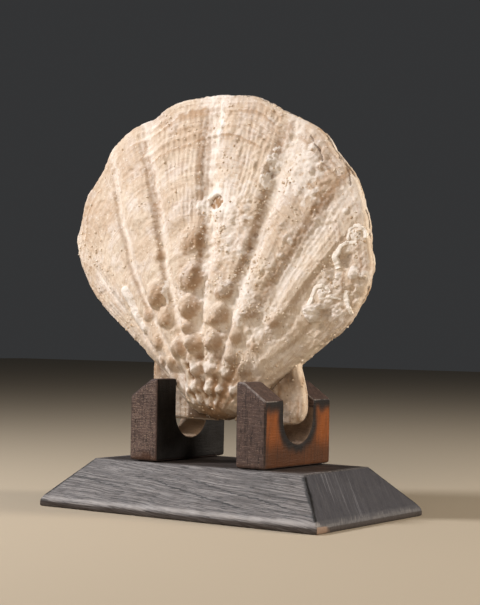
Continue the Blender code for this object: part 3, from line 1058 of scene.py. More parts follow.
    def closed(self, patch: StarPatch, height: Array, tones: Tones, levels: int) -> Skin:
        """Closes a patch with a wall and a flat inner face.

        Args:
            patch: the patch.
            height: how far each of its points stands off the hinge plane.
            tones: the values on those points.
            levels: how many rings of faces the wall has.

        Returns:
            The closed skin.
        """
        flat, rim, side = patch.points, patch.rim, self.facing.value
        top = np.stack([flat[:, 0], side * height, flat[:, 1]], 1)
        rings, ring_tones = [top], {name: [values] for name, values in tones.items()}
        edge = flat[rim]
        inward = towards(patch.hub, edge)
        arc = np.cumsum(np.hypot(*(edge - np.roll(edge, 1, 0)).T))
        for k in range(1, levels + 1):
            drop = height[rim] + (self.inner - height[rim]) * k / levels
            bite = 0.22 * (1.0 + layered(np.stack([arc, drop], 1), (4.0, 0.6), self.seed + 60))
            bite *= math.sin(math.pi * k / levels) ** 0.5 if k < levels else 0.0
            ring = edge + inward * bite[:, None]
            rings.append(np.stack([ring[:, 0], side * drop, ring[:, 1]], 1))
            for name, values in tones.items():
                ring_tones[name].append(values[rim])
        middle = edge.mean(axis=0)
        rings.append(np.array([[middle[0], side * self.inner, middle[1]]]))
        for name in tones:
            ring_tones[name].append(np.zeros(1))
        faces = [tuple(quad) for quad in patch.quads]
        count, start = len(rim), len(flat)
        loops = [rim, *(start + k * count + np.arange(count) for k in range(levels))]
        for above, below in zip(loops, loops[1:]):
            faces += zip(np.roll(above, -1), above, below, np.roll(below, -1))
        last = start + levels * count
        faces += [(b, a, last) for a, b in zip(loops[-1], np.roll(loops[-1], -1))]
        if self.facing is Facing.BACK:
            faces = [face[::-1] for face in faces]
        joined = {name: np.concatenate(parts) for name, parts in ring_tones.items()}
        return Skin(np.vstack(rings), faces, joined)

    def ear(self, side: int) -> Skin:
        """One ear: a flat tongue that runs in under the disc's edge.

        Args:
            side: 1 for the right ear and -1 for the left one.

        Returns:
            The ear as a closed skin.
        """
        outer = smooth_path(RIGHT_EAR if side > 0 else LEFT_EAR, 10)
        inner = np.array([(side * 4.0, 43.4), (side * 8.0, 52.0), (side * 33.0, 70.5)])
        middle = (side * 29.0 - 1.0, 57.0)
        loop = np.vstack([outer, inner])
        patch = StarPatch(densified(loop, 0.8), middle, self.cells // 4)
        flat = patch.points
        away = distance_to_path(flat, outer)
        thickness, edge_radius = 2.55, 1.7
        height = thickness + 0.12 * layered(flat, 7.0, self.seed + 70)
        height += 0.16 * wander(np.stack([away, flat[:, 1]], 1), (1.7, 30.0), self.seed + 74)
        height += 0.1 * layered(flat, 2.0, self.seed + 76)
        height -= 0.35 * grains(flat, 3.6, self.seed + 78, 0.25)
        height -= round_over(away, edge_radius)
        # painted shade on the ear under the disc's overhanging edge, deeper higher up
        shade = smoothstep(56.0, 68.0, flat[:, 1] + 4.0 * layered(flat, 5.0, self.seed + 73))
        # painted shade on the left ear beside the fold at the beak
        dark = smoothstep(-26.0, -21.0, flat[:, 0]) if side < 0 else np.zeros(len(flat))
        shade = (0.38 + 0.35 * shade) * smoothstep(0.5, 5.0, away)
        tones = {
            "growth": away,
            "fan": flat[:, 1] * 0.5,
            "tan": np.full(len(flat), 0.25),
            # fine brown streaks down the ear
            "hollow_and_shade": 0.25 + 0.5 * wander(flat, (1.1, 24.0), self.seed + 72),
            "chalk": np.zeros(len(flat)),
            "stain_and_shade": np.maximum(shade, 1.3 * dark * smoothstep(0.2, 1.4, away)),
            "crumb": np.full(len(flat), 0.04),
        }
        return self.closed(patch, np.maximum(height, 0.5), tones, levels=3)

    def build(self, name: str) -> Object:
        """Makes the valve's piece.

        Args:
            name: the piece's name.

        Returns:
            The object.
        """
        skin = self.disc().joined(self.ear(1)).joined(self.ear(-1))
        return mesh_object(name, skin.points, skin.faces, skin.tones)


def densified(loop: Array, spacing: float) -> Array:
    """Adds points to a closed polyline.

    Args:
        loop: the polyline's rows.
        spacing: the furthest apart that two points may be.

    Returns:
        The rows, with those that were added.
    """
    pieces = []
    for start, end in zip(loop, np.roll(loop, -1, 0)):
        count = max(1, int(np.ceil(np.hypot(*(end - start)) / spacing)))
        pieces.append(np.linspace(start, end, count, endpoint=False))
    return np.vstack(pieces)


def records(kind: type, *rows: tuple[Any, ...]) -> tuple[Any, ...]:
    """One record of a kind from each row of its values."""
    return tuple(kind(*row) for row in rows)


# the ears' free edges, from the disc round to the beak
RIGHT_EAR: Table = (
    (40.4, 72.6), (40.3, 69.5), (41.8, 64.5), (43.2, 58.5), (43.7, 52), (42.8, 47.3),
    (39.8, 44.2), (35, 43.2), (20, 43.2), (4, 43.3),
)
LEFT_EAR: Table = (
    (-45.9, 72.6), (-46.3, 68), (-46.4, 60), (-46.2, 50), (-45.4, 45.7), (-43, 43.7),
    (-39, 43.2), (-24, 43.2), (-8, 43.3),
)

FRONT_GROOVES = records(
    Groove,
    (-47, 0.45, 2.5, 2.5),
    (-33.5, 0.75, 2.2, 3.2, ((0, 0), (0.55, -1.5), (0.75, 1.5), (0.9, 4.5), (1, 5.5))),
    (-19.7, 0.85, 2.4, 3.8),
    (
        -2.8, 1, 4.6, 5,
        ((0, -3), (0.3, -2.2), (0.42, -0.2), (0.55, 1.9), (0.7, 0.4), (1, 0.4)),
    ),
    (16, 0.95, 4.4, 5, ((0, -2), (0.3, -1.4), (0.55, 0.8), (1, 0))),
    (31.2, 0.85, 6.6, 6, ((0, 1), (0.5, 0), (0.75, 0.4), (1, 3))),
    (41.6, 0.62, 4.6, 3.6),
    (50, 0.6, 3.4, 2.8),
)
FRONT_KNOBS = records(
    Knob,
    # leftmost ribs
    (-37.5, 64, 3.8, 2.2), (-40.5, 49, 3.8, 2.4), (-48, 42, 3, 1.6),
    (-40, 35.5, 3.2, 2.2),
    # second rib
    (-22, 86, 3.6, 1.3), (-27.8, 68.3, 7, 5), (-27, 55.5, 5.4, 3.8),
    (-24.9, 38.6, 5.2, 4.6), (-35, 27.5, 4.2, 3.2), (-35.3, 18.8, 3.3, 2.4),
    # third rib
    (-7.4, 87.8, 7.4, 2.6), (-7.8, 69.6, 7.6, 5), (-9.8, 55.4, 6.6, 4.8),
    (-12.6, 45.8, 4.1, 3.6), (-8.8, 38, 5.8, 5), (-10.1, 25.2, 4.5, 3.8),
    (-20.9, 17.6, 3.1, 2.3), (-17, 31, 3.2, 2),
    # fourth rib
    (9.2, 62.9, 5, 3.2), (9.4, 51.6, 5.4, 3.6), (8.3, 38.6, 5.6, 4.6),
    (9.7, 25.6, 4.8, 3.8), (5.4, 15.5, 3.4, 2.6), (14.6, 42.8, 2, 2.4),
    (-2.5, 20.5, 2.4, 1.4),
    # fifth rib and the beak
    (23.8, 44.7, 3.8, 2.2), (25.5, 34.5, 3.4, 2), (27.5, 26.2, 3.3, 2.2),
    (40, 33.2, 3.6, 2.2), (44.4, 21.1, 3, 2), (26, 17, 2.6, 1.6),
    (-47, 30.5, 2.8, 1.6), (-47, 22.5, 2.4, 1.3), (-42, 12.5, 2.2, 1),
    (-25, 10.9, 2.6, 1.5), (-6.3, 8.6, 2.4, 1.3), (20, 9.5, 2.2, 1.1),
    (35, 45, 3, 1.4), (36, 60, 3.6, 1.4), (24.5, 58, 4.2, 1.8),
)
FRONT_LEDGES = records(
    Ledge,
    (0.886, 0.8, -56, -1),
    (0.955, 0.7, 22, 46),
    (0.94, 0.45, -70, -10),
    (0.83, 0.35, -30, 24),
)
BACK_GROOVES = records(
    Groove,
    (-51.5, 0.5, 4, 4), (-40.5, 0.8, 4, 4), (-26.5, 0.9, 4, 4), (-11, 1, 4, 4),
    (7, 1, 4, 4), (24.5, 1, 4, 4), (37, 0.9, 4, 4), (46.5, 0.6, 4, 4),
)
BACK_KNOBS = records(
    Knob,
    (-18.5, 55, 4.6, 1.3), (-18, 37, 4, 1.6), (-2.5, 60, 4.8, 1.2),
    (-2, 44, 4.6, 1.7), (-1, 29, 3.6, 1.5), (15, 50, 4.4, 1.4),
    (16.5, 34, 3.6, 1.6), (30, 42, 3.2, 1.2), (-33, 40, 3.2, 1.2),
    (7, 20, 2.6, 1.2), (-14, 21, 2.6, 1.2),
)
BACK_LEDGES = (Ledge(0.9, 0.7, -60, 50),)


@dataclass(frozen=True)
class Spot:
    """A spot of lime or crust: centre, radius and rise in mm, and how white it is.

    stretch lengthens it along Z, and ruffle is how ragged it is.
    """

    x: float
    z: float
    radius: float
    rise: float
    chalk: float
    stretch: float = 1.0
    ruffle: float = 0.3


SPOTS = records(
    Spot,
    # white lime that runs up the middle rib
    (-5, 182, 2.1, 0.9, 1.4), (-5.4, 191, 1.4, 0.5, 1.2),
    (-4, 186.5, 1.5, 0.3, 1), (-5, 176, 1.3, 0.3, 0.9),
    # grey-white patches right of it
    (28.6, 165.5, 3, 0.9, 1.5, 2, 1.6), (25.2, 157.5, 2.4, 0.5, 1.1, 1.4, 1.4),
    # lumps and crust round the worm tubes
    (71, 114, 3.4, 2.3, 0.7, 1, 0.3), (75.6, 112.9, 2.7, 1.7, 0.5, 1, 0.4),
    (50.7, 95.6, 5, 3.6, 0.6, 1, 0.35), (61, 99.5, 6, 0.8, 0.4, 1.3, 1.2),
    (73.5, 106, 4.2, 0.6, 0.3, 1.3, 1.2), (63, 112.3, 1.7, 0.8, 0.7),
    (71.5, 131.3, 3.4, 0.9, 0.8, 0.9, 0.5), (55.2, 104.6, 2.2, 0.9, 1.2, 1, 0.3),
    # pale silt over the middle rib and crust below it
    (6, 139, 12, 0.1, 0.42, 1.9, 0.9), (44, 161, 10, 0.1, 0.5, 1.5, 0.9),
    (16.5, 100, 5, 0.5, 0.45, 2.2, 0.9), (8, 106, 3, 0.4, 0.3, 1.4, 0.9),
    (40, 128, 1.8, 0.8, 0.5), (35.5, 122, 1.6, 0.8, 0.4),
    (42.5, 152, 2.6, 0.7, 0.5, 1, 0.7), (51, 152, 2.4, 0.7, 0.5, 1, 0.7),
    (58.5, 143, 1.8, 0.7, 0.5), (66, 142, 1.5, 0.6, 0.5),
)
# (x, z, radius, drop) of places where the crust has broken out
HOLLOWS = (
    (27, 161, 3.6, 0.7), (67, 119.5, 4.6, 1.4), (57.5, 95, 3.2, 1.2),
    (20.8, 131.5, 1.8, 0.6), (19.2, 125.5, 2.2, 0.8), (17.6, 119.5, 2.2, 0.7),
    (54, 89.6, 2.4, 0.9),
)
# (path, half width, rise) of ridges of white lime
LIME_STREAKS = (
    (((-57.5, 106), (-54.6, 102), (-52.2, 97), (-49.6, 92), (-46, 87)), 3.2, 1.5),
    (((-6, 197), (-5.4, 190), (-4.4, 184), (-4.8, 176)), 1.2, 0.4),
    (((-29, 110), (-28, 104), (-26.5, 99.5)), 0.7, 0.6),
)
# (path, half width, how brown) of streaks in the valleys and along the margin, partly painted shade
# down the ribs' right flanks
BROWN_STREAKS = (
    (((65.5, 160), (61.5, 154.5), (56, 148), (51.5, 142.5)), 3.4, 0.85),
    (((34, 183.5), (32.5, 178), (29.5, 172.5)), 4.4, 0.85),
    (((-12.6, 188), (-11.8, 181), (-11.3, 172), (-10.4, 163), (-9.6, 156)), 2.6, 1.35),
    (((-53, 179), (-47.9, 169), (-42.4, 155), (-38.1, 142)), 1.7, 1.2),
    (((-30, 192), (-20, 193.5), (-10, 194)), 3.4, 0.85),
    (((40, 187.5), (47, 183.5), (52, 179.5)), 1.6, 0.85),
)
CRACKS = (
    ((46, 178), (49.5, 173), (51.3, 171), (53.3, 165.7)),
    ((63, 166), (66, 160), (67.5, 154)),
)


@dataclass
class MarkedValve(Valve):
    """The front valve, with the marks that time and its lodgers left on it."""

    pit: Pair = (-2.2, 148.0)
    pit_radius: float = 3.9
    pit_depth: float = 1.5

    def crumbs(self, points: Array) -> Array:
        """More crumbs to the right and up the middle than on the plain left."""
        cover = smoothstep(-45.0, 30.0, points[:, 0]) * smoothstep(45.0, 75.0, points[:, 1])
        return super().crumbs(points) * (0.25 + 0.75 * cover)

    def bored(self, points: Array, height: Array, tones: Tones) -> Array:
        """Sinks the bored pit, with its raised lip, chalky halo and painted shade inside it.

        Args:
            points: (x, z) rows in mm.
            height: each one's height, in mm.
            tones: the tones, which are changed in place.

        Returns:
            The new height.
        """
        away = np.hypot(*((points - self.pit) * (0.7, 1.0)).T)
        ragged = away * (1.0 + 0.14 * wander(points, 2.4, self.seed + 80))
        inside = 1.0 - smoothstep(0.75, 1.0, ragged / self.pit_radius)
        height = height - self.pit_depth * inside
        height += 0.5 * bell(ragged - self.pit_radius - 0.6, 0.8)
        far = away - self.pit_radius + 4.0 * wander(points, 3.0, self.seed + 81)
        halo = 1.0 - smoothstep(0.0, 7.0, far)
        raise_tone(tones, "chalk", 1.1 * halo * (1.0 - inside))
        raise_tone(tones, "tan", 1.2 * inside)
        # painted shade inside the pit
        raise_tone(tones, "hollow_and_shade", 0.8 * inside)
        tones["chalk"] = np.where(inside > 0.5, 0.0, tones["chalk"])
        return height

    def marks(self, points: Array, height: Array, tones: Tones) -> Array:
        """Adds the bored pit, mineral patches, crust, streaks and cracks, with painted shade in the
        pit, where the crust has broken out and partly along the valleys.

        Args:
            points: (x, z) rows in mm.
            height: each one's height, in mm.
            tones: the tones, which are changed in place.

        Returns:
            The new height.
        """
        height = self.bored(points, height, tones)
        crust = layered(points, 2.8, self.seed + 82)
        rough = 0.5 + 0.7 * grains(points, 1.5, self.seed + 84, 0.85)
        for spot in SPOTS:
            offset = (points - (spot.x, spot.z)) / (spot.radius, spot.radius * spot.stretch)
            near = clamp(1.0 - np.sum(offset**2, axis=1) + spot.ruffle * crust)
            height += spot.rise * near**0.6 * (1.0 + spot.ruffle * (rough - 1.0))
            raise_tone(tones, "chalk", spot.chalk * np.minimum(near * 2.0, 1.0))
        for x, z, wide, drop in HOLLOWS:
            far = np.hypot(*(points - (x, z)).T) / wide + 0.4 * crust
            hollow_and_shade = 1.0 - smoothstep(0.3, 1.0, far)
            height -= drop * hollow_and_shade
            # painted shade where the crust has broken out
            raise_tone(tones, "stain_and_shade", 0.45 * hollow_and_shade)
        for path, width, rise in LIME_STREAKS:
            near = near_path(points, path, 6, 0.3 * width, width, 0.35 * crust)
            height += rise * near
            raise_tone(tones, "chalk", 1.8 * near)
        for path, width, brown in BROWN_STREAKS:
            near = near_path(points, path, 6, 0.2 * width, width, 1.1 * crust)
            raise_tone(tones, "tan", brown * near)
        for path in CRACKS:
            near = near_path(points, path, 5, 0.2, 0.7, 0.0)
            height -= 0.4 * near
            raise_tone(tones, "stain_and_shade", 0.8 * near)
        return height


# ---------------------------------------------------------------- worm tubes


@dataclass(frozen=True)
class Worm:
    """One tube: its path on the shell and its girth at both ends, as shares of the radius."""

    path: Table
    first: float
    last: float


@dataclass
class WormTubes:
    """Limy tubes that worms built on the shell, each along its own path."""

    valve: MarkedValve
    radius: float = 1.0
    ring_pitch: float = 0.9
    ring_height: float = 0.08
    worms: tuple[Worm, ...] = (
        Worm(
            ((67.4, 128.8), (67.6, 131.6), (68.8, 134.2), (71, 135.4), (73.6, 134.4),
             (75.4, 132.2), (75.6, 129.8)), 0.7, 0.95,
        ),
        Worm(
            ((72.4, 127), (69.1, 127.7), (65.6, 126.5), (63.3, 124.1), (62, 121),
             (62.6, 118.2), (63.2, 115.6)), 0.7, 1.75,
        ),
        Worm(
            ((50, 99), (50.6, 103.4), (52.4, 106.8), (55.8, 108.1), (58.4, 106.8), (59.6, 104.8)),
            1.25, 0.7,
        ),
        Worm(((67.4, 105.6), (67.1, 102.3), (67.8, 99.2), (68.8, 96.8), (69.2, 95.2)), 1.4, 0.9),
        Worm(((54.7, 101.6), (58, 102.8), (61, 102.6), (64.6, 101.8)), 0.5, 0.5),
    )

    def build(self, name: str, finish: Material) -> Object:
        """Lays the paths on the shell and turns them into tubes.

        Args:
            name: the piece's name.
            finish: their lime.

        Returns:
            One object that holds all the tubes.
        """
        points: list[Array] = []
        edges: Faces = []
        girths: list[Array] = []
        span, lift = 9, 0.15  # points that a path is evened over, and mm that it stands off
        for worm in self.worms:
            flat = smooth_path(worm.path, 10)
            height, _ = self.valve.surface(flat, np.zeros(len(flat)))
            height = np.convolve(np.pad(height, span // 2, "edge"), np.ones(span) / span, "valid")
            start = len(points)
            stray = 0.3 * np.stack([layered(flat, 2.2, 97 + k) for k in range(3)], 1)
            points += list(np.stack([flat[:, 0], -height + lift, flat[:, 1]], 1) + stray)
            girth = np.linspace(worm.first, worm.last, len(flat))
            girths.append(girth * (1.0 + 0.14 * layered(flat, 2.4, 96)))
            edges += [(start + k, start + k + 1) for k in range(len(flat) - 1)]
        tones = {"girth": np.concatenate(girths)}
        guide = mesh_object(name + "_paths", np.array(points), [], tones, edges)
        values = {
            "Radius": self.radius * MM,
            "Ring Pitch": self.ring_pitch * MM,
            "Ring Height": self.ring_height * MM,
        }
        return grown_piece(name, guide, tube_tree(finish), values)


def new_tree(name: str, inputs: dict[str, float]) -> tuple[Tree, Any]:
    """Starts a Geometry Nodes tree.

    Args:
        name: the tree's name.
        inputs: its named numbers, each with the value it has if none is given.

    Returns:
        The tree and its inputs' sockets.
    """
    tree = bpy.data.node_groups.new(name, "GeometryNodeTree")
    for way in ("INPUT", "OUTPUT"):
        tree.interface.new_socket("Geometry", in_out=way, socket_type="NodeSocketGeometry")
    for label, value in inputs.items():
        socket = tree.interface.new_socket(label, in_out="INPUT", socket_type="NodeSocketFloat")
        socket.default_value = value
    return tree, add_node(tree, "NodeGroupInput").node.outputs


def end_tree(tree: Tree, geometry: Socket, finish: Material) -> Tree:
    """Ends a tree with real geometry in its finish.

    Args:
        tree: the tree.
        geometry: what it has made.
        finish: what that is made of.

    Returns:
        The tree.
    """
    real = add_node(tree, "GeometryNodeRealizeInstances", {"Geometry": geometry})
    smooth = add_node(tree, "GeometryNodeSetShadeSmooth", {"Geometry": real})
    dressed = add_node(tree, "GeometryNodeSetMaterial", {"Geometry": smooth, "Material": finish})
    add_node(tree, "NodeGroupOutput", {"Geometry": dressed})
    return tree


def grown_piece(name: str, source: Object, tree: Tree, values: dict[str, float]) -> Object:
    """Runs a Geometry Nodes tree and keeps its result as a plain mesh.

    Args:
        name: the new piece's name.
        source: the object it works on, removed afterwards.
        tree: the tree.
        values: its named inputs.

    Returns:
        The new piece.
    """
    modifier = source.modifiers.new(tree.name, "NODES")
    modifier.node_group = tree
    for item in tree.interface.items_tree:
        if item.item_type == "SOCKET" and item.in_out == "INPUT" and item.name in values:
            modifier[item.identifier] = values[item.name]
    return new_object(name, evaluated(source, name))


def crumb_tree(finish: Material) -> Tree:
    """A tree that strews squashed crumbs over a surface, thickest where its crumb tone is high.

    Args:
        finish: the material of what it makes.

    Returns:
        The tree.
    """
    tree, given = new_tree("silt_crumbs", {"Density": 80000.0, "Least": 0.0003, "Most": 0.0007})
    cover = add_node(tree, "GeometryNodeInputNamedAttribute", {"Name": "crumb"}, data_type="FLOAT")
    density = add_node(tree, "ShaderNodeMath", {0: cover, 1: given["Density"]}, operation="MULTIPLY")
    ground = {"Mesh": given["Geometry"], "Density": density, "Seed": 7}
    strewn = add_node(tree, "GeometryNodeDistributePointsOnFaces", ground)
    across, along = (
        add_node(
            tree, "FunctionNodeRandomValue", {2: given["Least"], 3: given["Most"], "Seed": seed},
            data_type="FLOAT",
        )
        for seed in (3, 4)
    )
    tall = add_node(tree, "ShaderNodeMath", {0: across, 1: 0.75}, operation="MULTIPLY")
    crumb = {
        "Points": strewn,
        "Instance": add_node(tree, "GeometryNodeMeshIcoSphere", {"Radius": 1.0, "Subdivisions": 1}),
        "Rotation": strewn.node.outputs["Rotation"],
        "Scale": add_node(tree, "ShaderNodeCombineXYZ", {0: across, 1: along, 2: tall}),
    }
    return end_tree(tree, add_node(tree, "GeometryNodeInstanceOnPoints", crumb), finish)


def brushed_tree(finish: Material) -> Tree:
    """A tree that raises the hard fibres of brushed wood along its grain.

    Args:
        finish: the material of what it makes.

    Returns:
        The tree.
    """
    tree, given = new_tree("brushed_grain", {"Fibre Width": 1.6, "Fibre Length": 30.0, "Depth": 0.0003})
    axes = {}
    for axis, (tone, size) in enumerate((("ring", "Fibre Width"), ("along", "Fibre Length"))):
        value = add_node(tree, "GeometryNodeInputNamedAttribute", {"Name": tone}, data_type="FLOAT")
        axes[axis] = add_node(tree, "ShaderNodeMath", {0: value, 1: given[size]}, operation="DIVIDE")
    place = add_node(tree, "ShaderNodeCombineXYZ", axes)
    fibres = add_node(tree, "ShaderNodeTexNoise", {"Vector": place, "Scale": 1.0, "Detail": 2.0})
    # the top of the fibres stays under the blank's own surface
    rise = add_node(tree, "ShaderNodeMath", {0: fibres, 1: 0.75}, operation="SUBTRACT")
    height = add_node(tree, "ShaderNodeMath", {0: rise, 1: given["Depth"]}, operation="MULTIPLY")
    normal = add_node(tree, "GeometryNodeInputNormal")
    offset = add_node(tree, "ShaderNodeVectorMath", {0: normal, "Scale": height}, operation="SCALE")
    moved = {"Geometry": given["Geometry"], "Offset": offset}
    return end_tree(tree, add_node(tree, "GeometryNodeSetPosition", moved), finish)


def tube_tree(finish: Material) -> Tree:
    """A tree that sweeps a ringed tube of the path's own girth along each path.

    Args:
        finish: the material of what it makes.

    Returns:
        The tree.
    """
    tree, given = new_tree("ringed_tube", {"Radius": 0.001, "Ring Pitch": 0.001, "Ring Height": 0.0001})
    curve = add_node(tree, "GeometryNodeMeshToCurve", {"Mesh": given["Geometry"]})
    even = {"Curve": curve, "Length": 0.3 * MM}
    curve = add_node(tree, "GeometryNodeResampleCurve", even, mode="LENGTH")
    along = add_node(tree, "GeometryNodeSplineParameter", out="Length")
    turns = add_node(tree, "ShaderNodeMath", {0: along, 1: given["Ring Pitch"]}, operation="DIVIDE")
    phase = add_node(tree, "ShaderNodeMath", {0: turns, 1: 2 * math.pi}, operation="MULTIPLY")
    wave = add_node(tree, "ShaderNodeMath", {0: phase}, operation="SINE")
    girth = add_node(tree, "GeometryNodeInputNamedAttribute", {"Name": "girth"}, data_type="FLOAT")
    body = add_node(tree, "ShaderNodeMath", {0: given["Radius"], 1: girth}, operation="MULTIPLY")
    ringed = {0: wave, 1: given["Ring Height"], 2: body}
    ringed = add_node(tree, "ShaderNodeMath", ringed, operation="MULTIPLY_ADD")
    upright = {"Curve": curve, "Normal": Vector((0.0, -1.0, 0.0))}
    upright = add_node(tree, "GeometryNodeSetCurveNormal", upright, mode="FREE")
    section = add_node(tree, "GeometryNodeCurvePrimitiveCircle", {"Resolution": 18, "Radius": 1.0})
    # a worn dent along the side that faces away from the shell
    round_part = add_node(tree, "GeometryNodeSplineParameter")
    swing = add_node(tree, "ShaderNodeMath", {0: round_part, 1: 2 * math.pi}, operation="MULTIPLY")
    facing = add_node(tree, "ShaderNodeMath", {0: swing}, operation="COSINE")
    dent = {"Value": facing, "From Min": 0.55, "From Max": 1.0, "To Max": -0.42}
    dent = add_node(tree, "ShaderNodeMapRange", dent, interpolation_type="SMOOTHSTEP")
    here = add_node(tree, "GeometryNodeInputPosition")
    shrink = add_node(tree, "ShaderNodeVectorMath", {0: here, "Scale": dent}, operation="SCALE")
    section = add_node(tree, "GeometryNodeSetPosition", {"Geometry": section, "Offset": shrink})
    swept = {"Curve": upright, "Profile Curve": section, "Scale": ringed, "Fill Caps": True}
    return end_tree(tree, add_node(tree, "GeometryNodeCurveToMesh", swept), finish)


# ---------------------------------------------------------------------- stand


def rounded_loop(half_x: float, half_y: float, radius: float, across: int, deep: int) -> Array:
    """A rectangle with rounded corners, with the same number of points at any size.

    Args:
        half_x: half its length.
        half_y: half its width.
        radius: the radius of its corners.
        across: how many points there are along its length, between two corners.
        deep: how many there are along its width.

    Returns:
        Its (x, y) rows, counter-clockwise.
    """
    radius = min(radius, half_x, half_y)
    reach = np.array([half_x, half_y]) - radius
    sides = (((-1, -1), (1, 0), across), ((1, -1), (0, 1), deep),
             ((1, 1), (-1, 0), across), ((-1, 1), (0, -1), deep))
    points = []
    for quarter, (corner, step, count) in enumerate(sides):
        turns = np.radians(180.0 + 90.0 * quarter + np.linspace(0.0, 90.0, 5))
        arc = reach * corner + radius * np.stack([np.cos(turns), np.sin(turns)], 1)
        inner = np.linspace(0.0, 2 * np.abs(step) @ reach, count + 2)[1:-1]
        points += [arc, arc[-1] + inner[:, None] * step]
    return np.vstack(points)


@dataclass(frozen=True)
class Timber:
    """How a piece was cut from its tree: the pith's place and direction, in mm."""

    pith: Triple
    grain: Triple
    waviness: float = 0.5
    wave_size: Triple = (11.0, 6.0, 6.0)

    def tones(self, points: Array, seed: int) -> Tones:
        """Where each point lies in the tree.

        Args:
            points: (x, y, z) rows in mm.
            seed: picks how the rings waver.

        Returns:
            Distance from the pith and distance along the grain.
        """
        grain = np.array(self.grain) / np.linalg.norm(self.grain)
        offset = points - self.pith
        along = offset @ grain
        ring = np.linalg.norm(offset - along[:, None] * grain, axis=1)
        ring = ring + self.waviness * layered(points, self.wave_size, seed, 2)
        return {"ring": ring, "along": along}


@dataclass
class BaseBoard:
    """The tapered board that carries the blocks."""

    length: float = 160.0
    width: float = 94.0
    height: float = 23.4
    rim: float = 3.9
    slope_run: float = 19.0
    corner: float = 0.8
    cell: float = 0.72
    timber: Timber = Timber((0.0, -81.0, -28.0), (1.0, -0.06, -0.055), 0.7, (20.0, 9.0, 9.0))

    def profile(self) -> list[Pair]:
        """The board's section, from the middle of the underside to the middle of the top.

        Returns:
            How far in and how high each loop lies.
        """
        half, rise = self.width / 2, self.height - self.rim
        heart = 0.5  # the innermost loops stop this far from the board's centre line
        steps = [(half - heart - k * (half - 2.0) / 9, 0.0) for k in range(10)]
        # the eased lower arris, the upright rim and the eased arris above it
        steps += [(0.7, 0.03), (0.25, 0.25), (0.0, 0.8), (0.0, 1.6), (0.0, 2.3), (0.12, 3.0)]
        steps += [(0.4, 3.75), (0.85, 4.5), (1.4, 5.2)]
        count = int(math.hypot(self.slope_run, rise) / self.cell)
        steps += [(self.slope_run * t, self.rim + rise * t) for t in np.arange(3, count) / count]
        lip = self.slope_run + 0.6
        steps += [(self.slope_run - 0.2, self.height - 0.12), (lip, self.height)]
        inner = half - heart - self.slope_run
        steps += [(lip + k * (inner - 0.6) / 24, self.height) for k in range(1, 25)]
        return steps

    def build(self, name: str) -> Object:
        """Makes the board's piece.

        Args:
            name: the piece's name.

        Returns:
            The object, brushed and finished.
        """
        across, deep = int(self.length / self.cell), int(self.width / self.cell)
        rings = []
        for inset, level in self.profile():
            halves = self.length / 2 - inset, self.width / 2 - inset
            loop = rounded_loop(*halves, self.corner, across, deep)
            rings.append(np.column_stack([loop, np.full(len(loop), level)]))
        count = len(rings[0])
        faces = []
        for k in range(len(rings) - 1):
            low, high = k * count + np.arange(count), (k + 1) * count + np.arange(count)
            faces += zip(low, np.roll(low, -1), np.roll(high, -1), high)
        faces.append(range(count)[::-1])
        faces.append((len(rings) - 1) * count + np.arange(count))
        points = np.vstack(rings)
        timber = self.timber.tones(points, 31)
        tones = timber | self.tones(points, timber["ring"])
        brushed = tones["end"] > 0.3  # there the strokes run down the slope
        strokes = points[:, 1] + 0.8 * np.abs(points[:, 0]) + 0.4 * layered(points, 9.0, 33)
        tones["ring"] = np.where(brushed, strokes, tones["ring"])
        tones["along"] = np.where(brushed, points[:, 2], tones["along"])
        blank = mesh_object(name + "_blank", points, faces, tones)
        values = {"Fibre Width": 2.2, "Fibre Length": 60.0, "Depth": 0.4 * MM}
        return grown_piece(name, blank, brushed_tree(CHARRED_BOARD.make()), values)

    def tones(self, points: Array, ring: Array) -> Tones:
        """Where the board is worn pale with a painted sheen along its lower lip, charred black, brown
        or left tan.

        Args:
            points: (x, y, z) rows in mm.
            ring: each one's distance from the pith.

        Returns:
            The tones that the finish reads.
        """
        x, y, z = points.T
        in_x, in_y = self.length / 2 - np.abs(x), self.width / 2 - np.abs(y)
        sloping = smoothstep(0.5, 2.0, z - self.rim) * smoothstep(0.0, 1.5, self.height - z)
        stray = layered(points, 6.0, 91)
        hip = bell(in_x - in_y, 1.9 + 1.1 * stray) * sloping
        crack = np.zeros(len(points))
        # each check in the wood: where it starts and ends along X, and its place across the rings
        for start, end, place in ((-40.0, 48.0, 59.5), (-6.0, 72.0, 66.0), (-66.0, -25.0, 50.0)):
            along = clamp(np.minimum(x - start, end - x) / 12.0)
            fall = ring + 0.11 * x + 0.5 * stray
            near = 1.0 - smoothstep(0.1, 0.75, np.abs(fall - place))
            crack = np.maximum(crack, along * near * sloping * (y < 0))
        # painted sheen and wear along the lower lip, brighter at the front
        lip = bell(z - self.rim - 0.4, 1.5) * (0.8 + 0.2 * stray)
        lip_wear_and_sheen = lip * np.where((in_y < 4.0) & (y < 0), 1.0, 0.55)
        end = smoothstep(-1.0, 1.0, in_y - in_x) * (z < self.height - 0.2)
        inland = np.minimum(in_x, in_y) - self.slope_run
        near_corner = bell(y + self.width / 2, 11.0) * (x > 0) * (z < self.rim - 0.4)
        top = (z > self.height - 0.3) * smoothstep(0.0, 6.0, inland)
        pale = (0.6 + 0.4 * (z > self.rim)) * (0.93 + 0.13 * bell(y + 9.0, 13.0))
        return {
            "wear_and_sheen": lip_wear_and_sheen,
            "char": np.maximum(hip, crack),
            "end": end * pale,
            "brown": np.maximum(top, 0.9 * (z < self.rim - 1.4)),
            "tan": np.where(end > 0.5, near_corner, 0.0),
        }


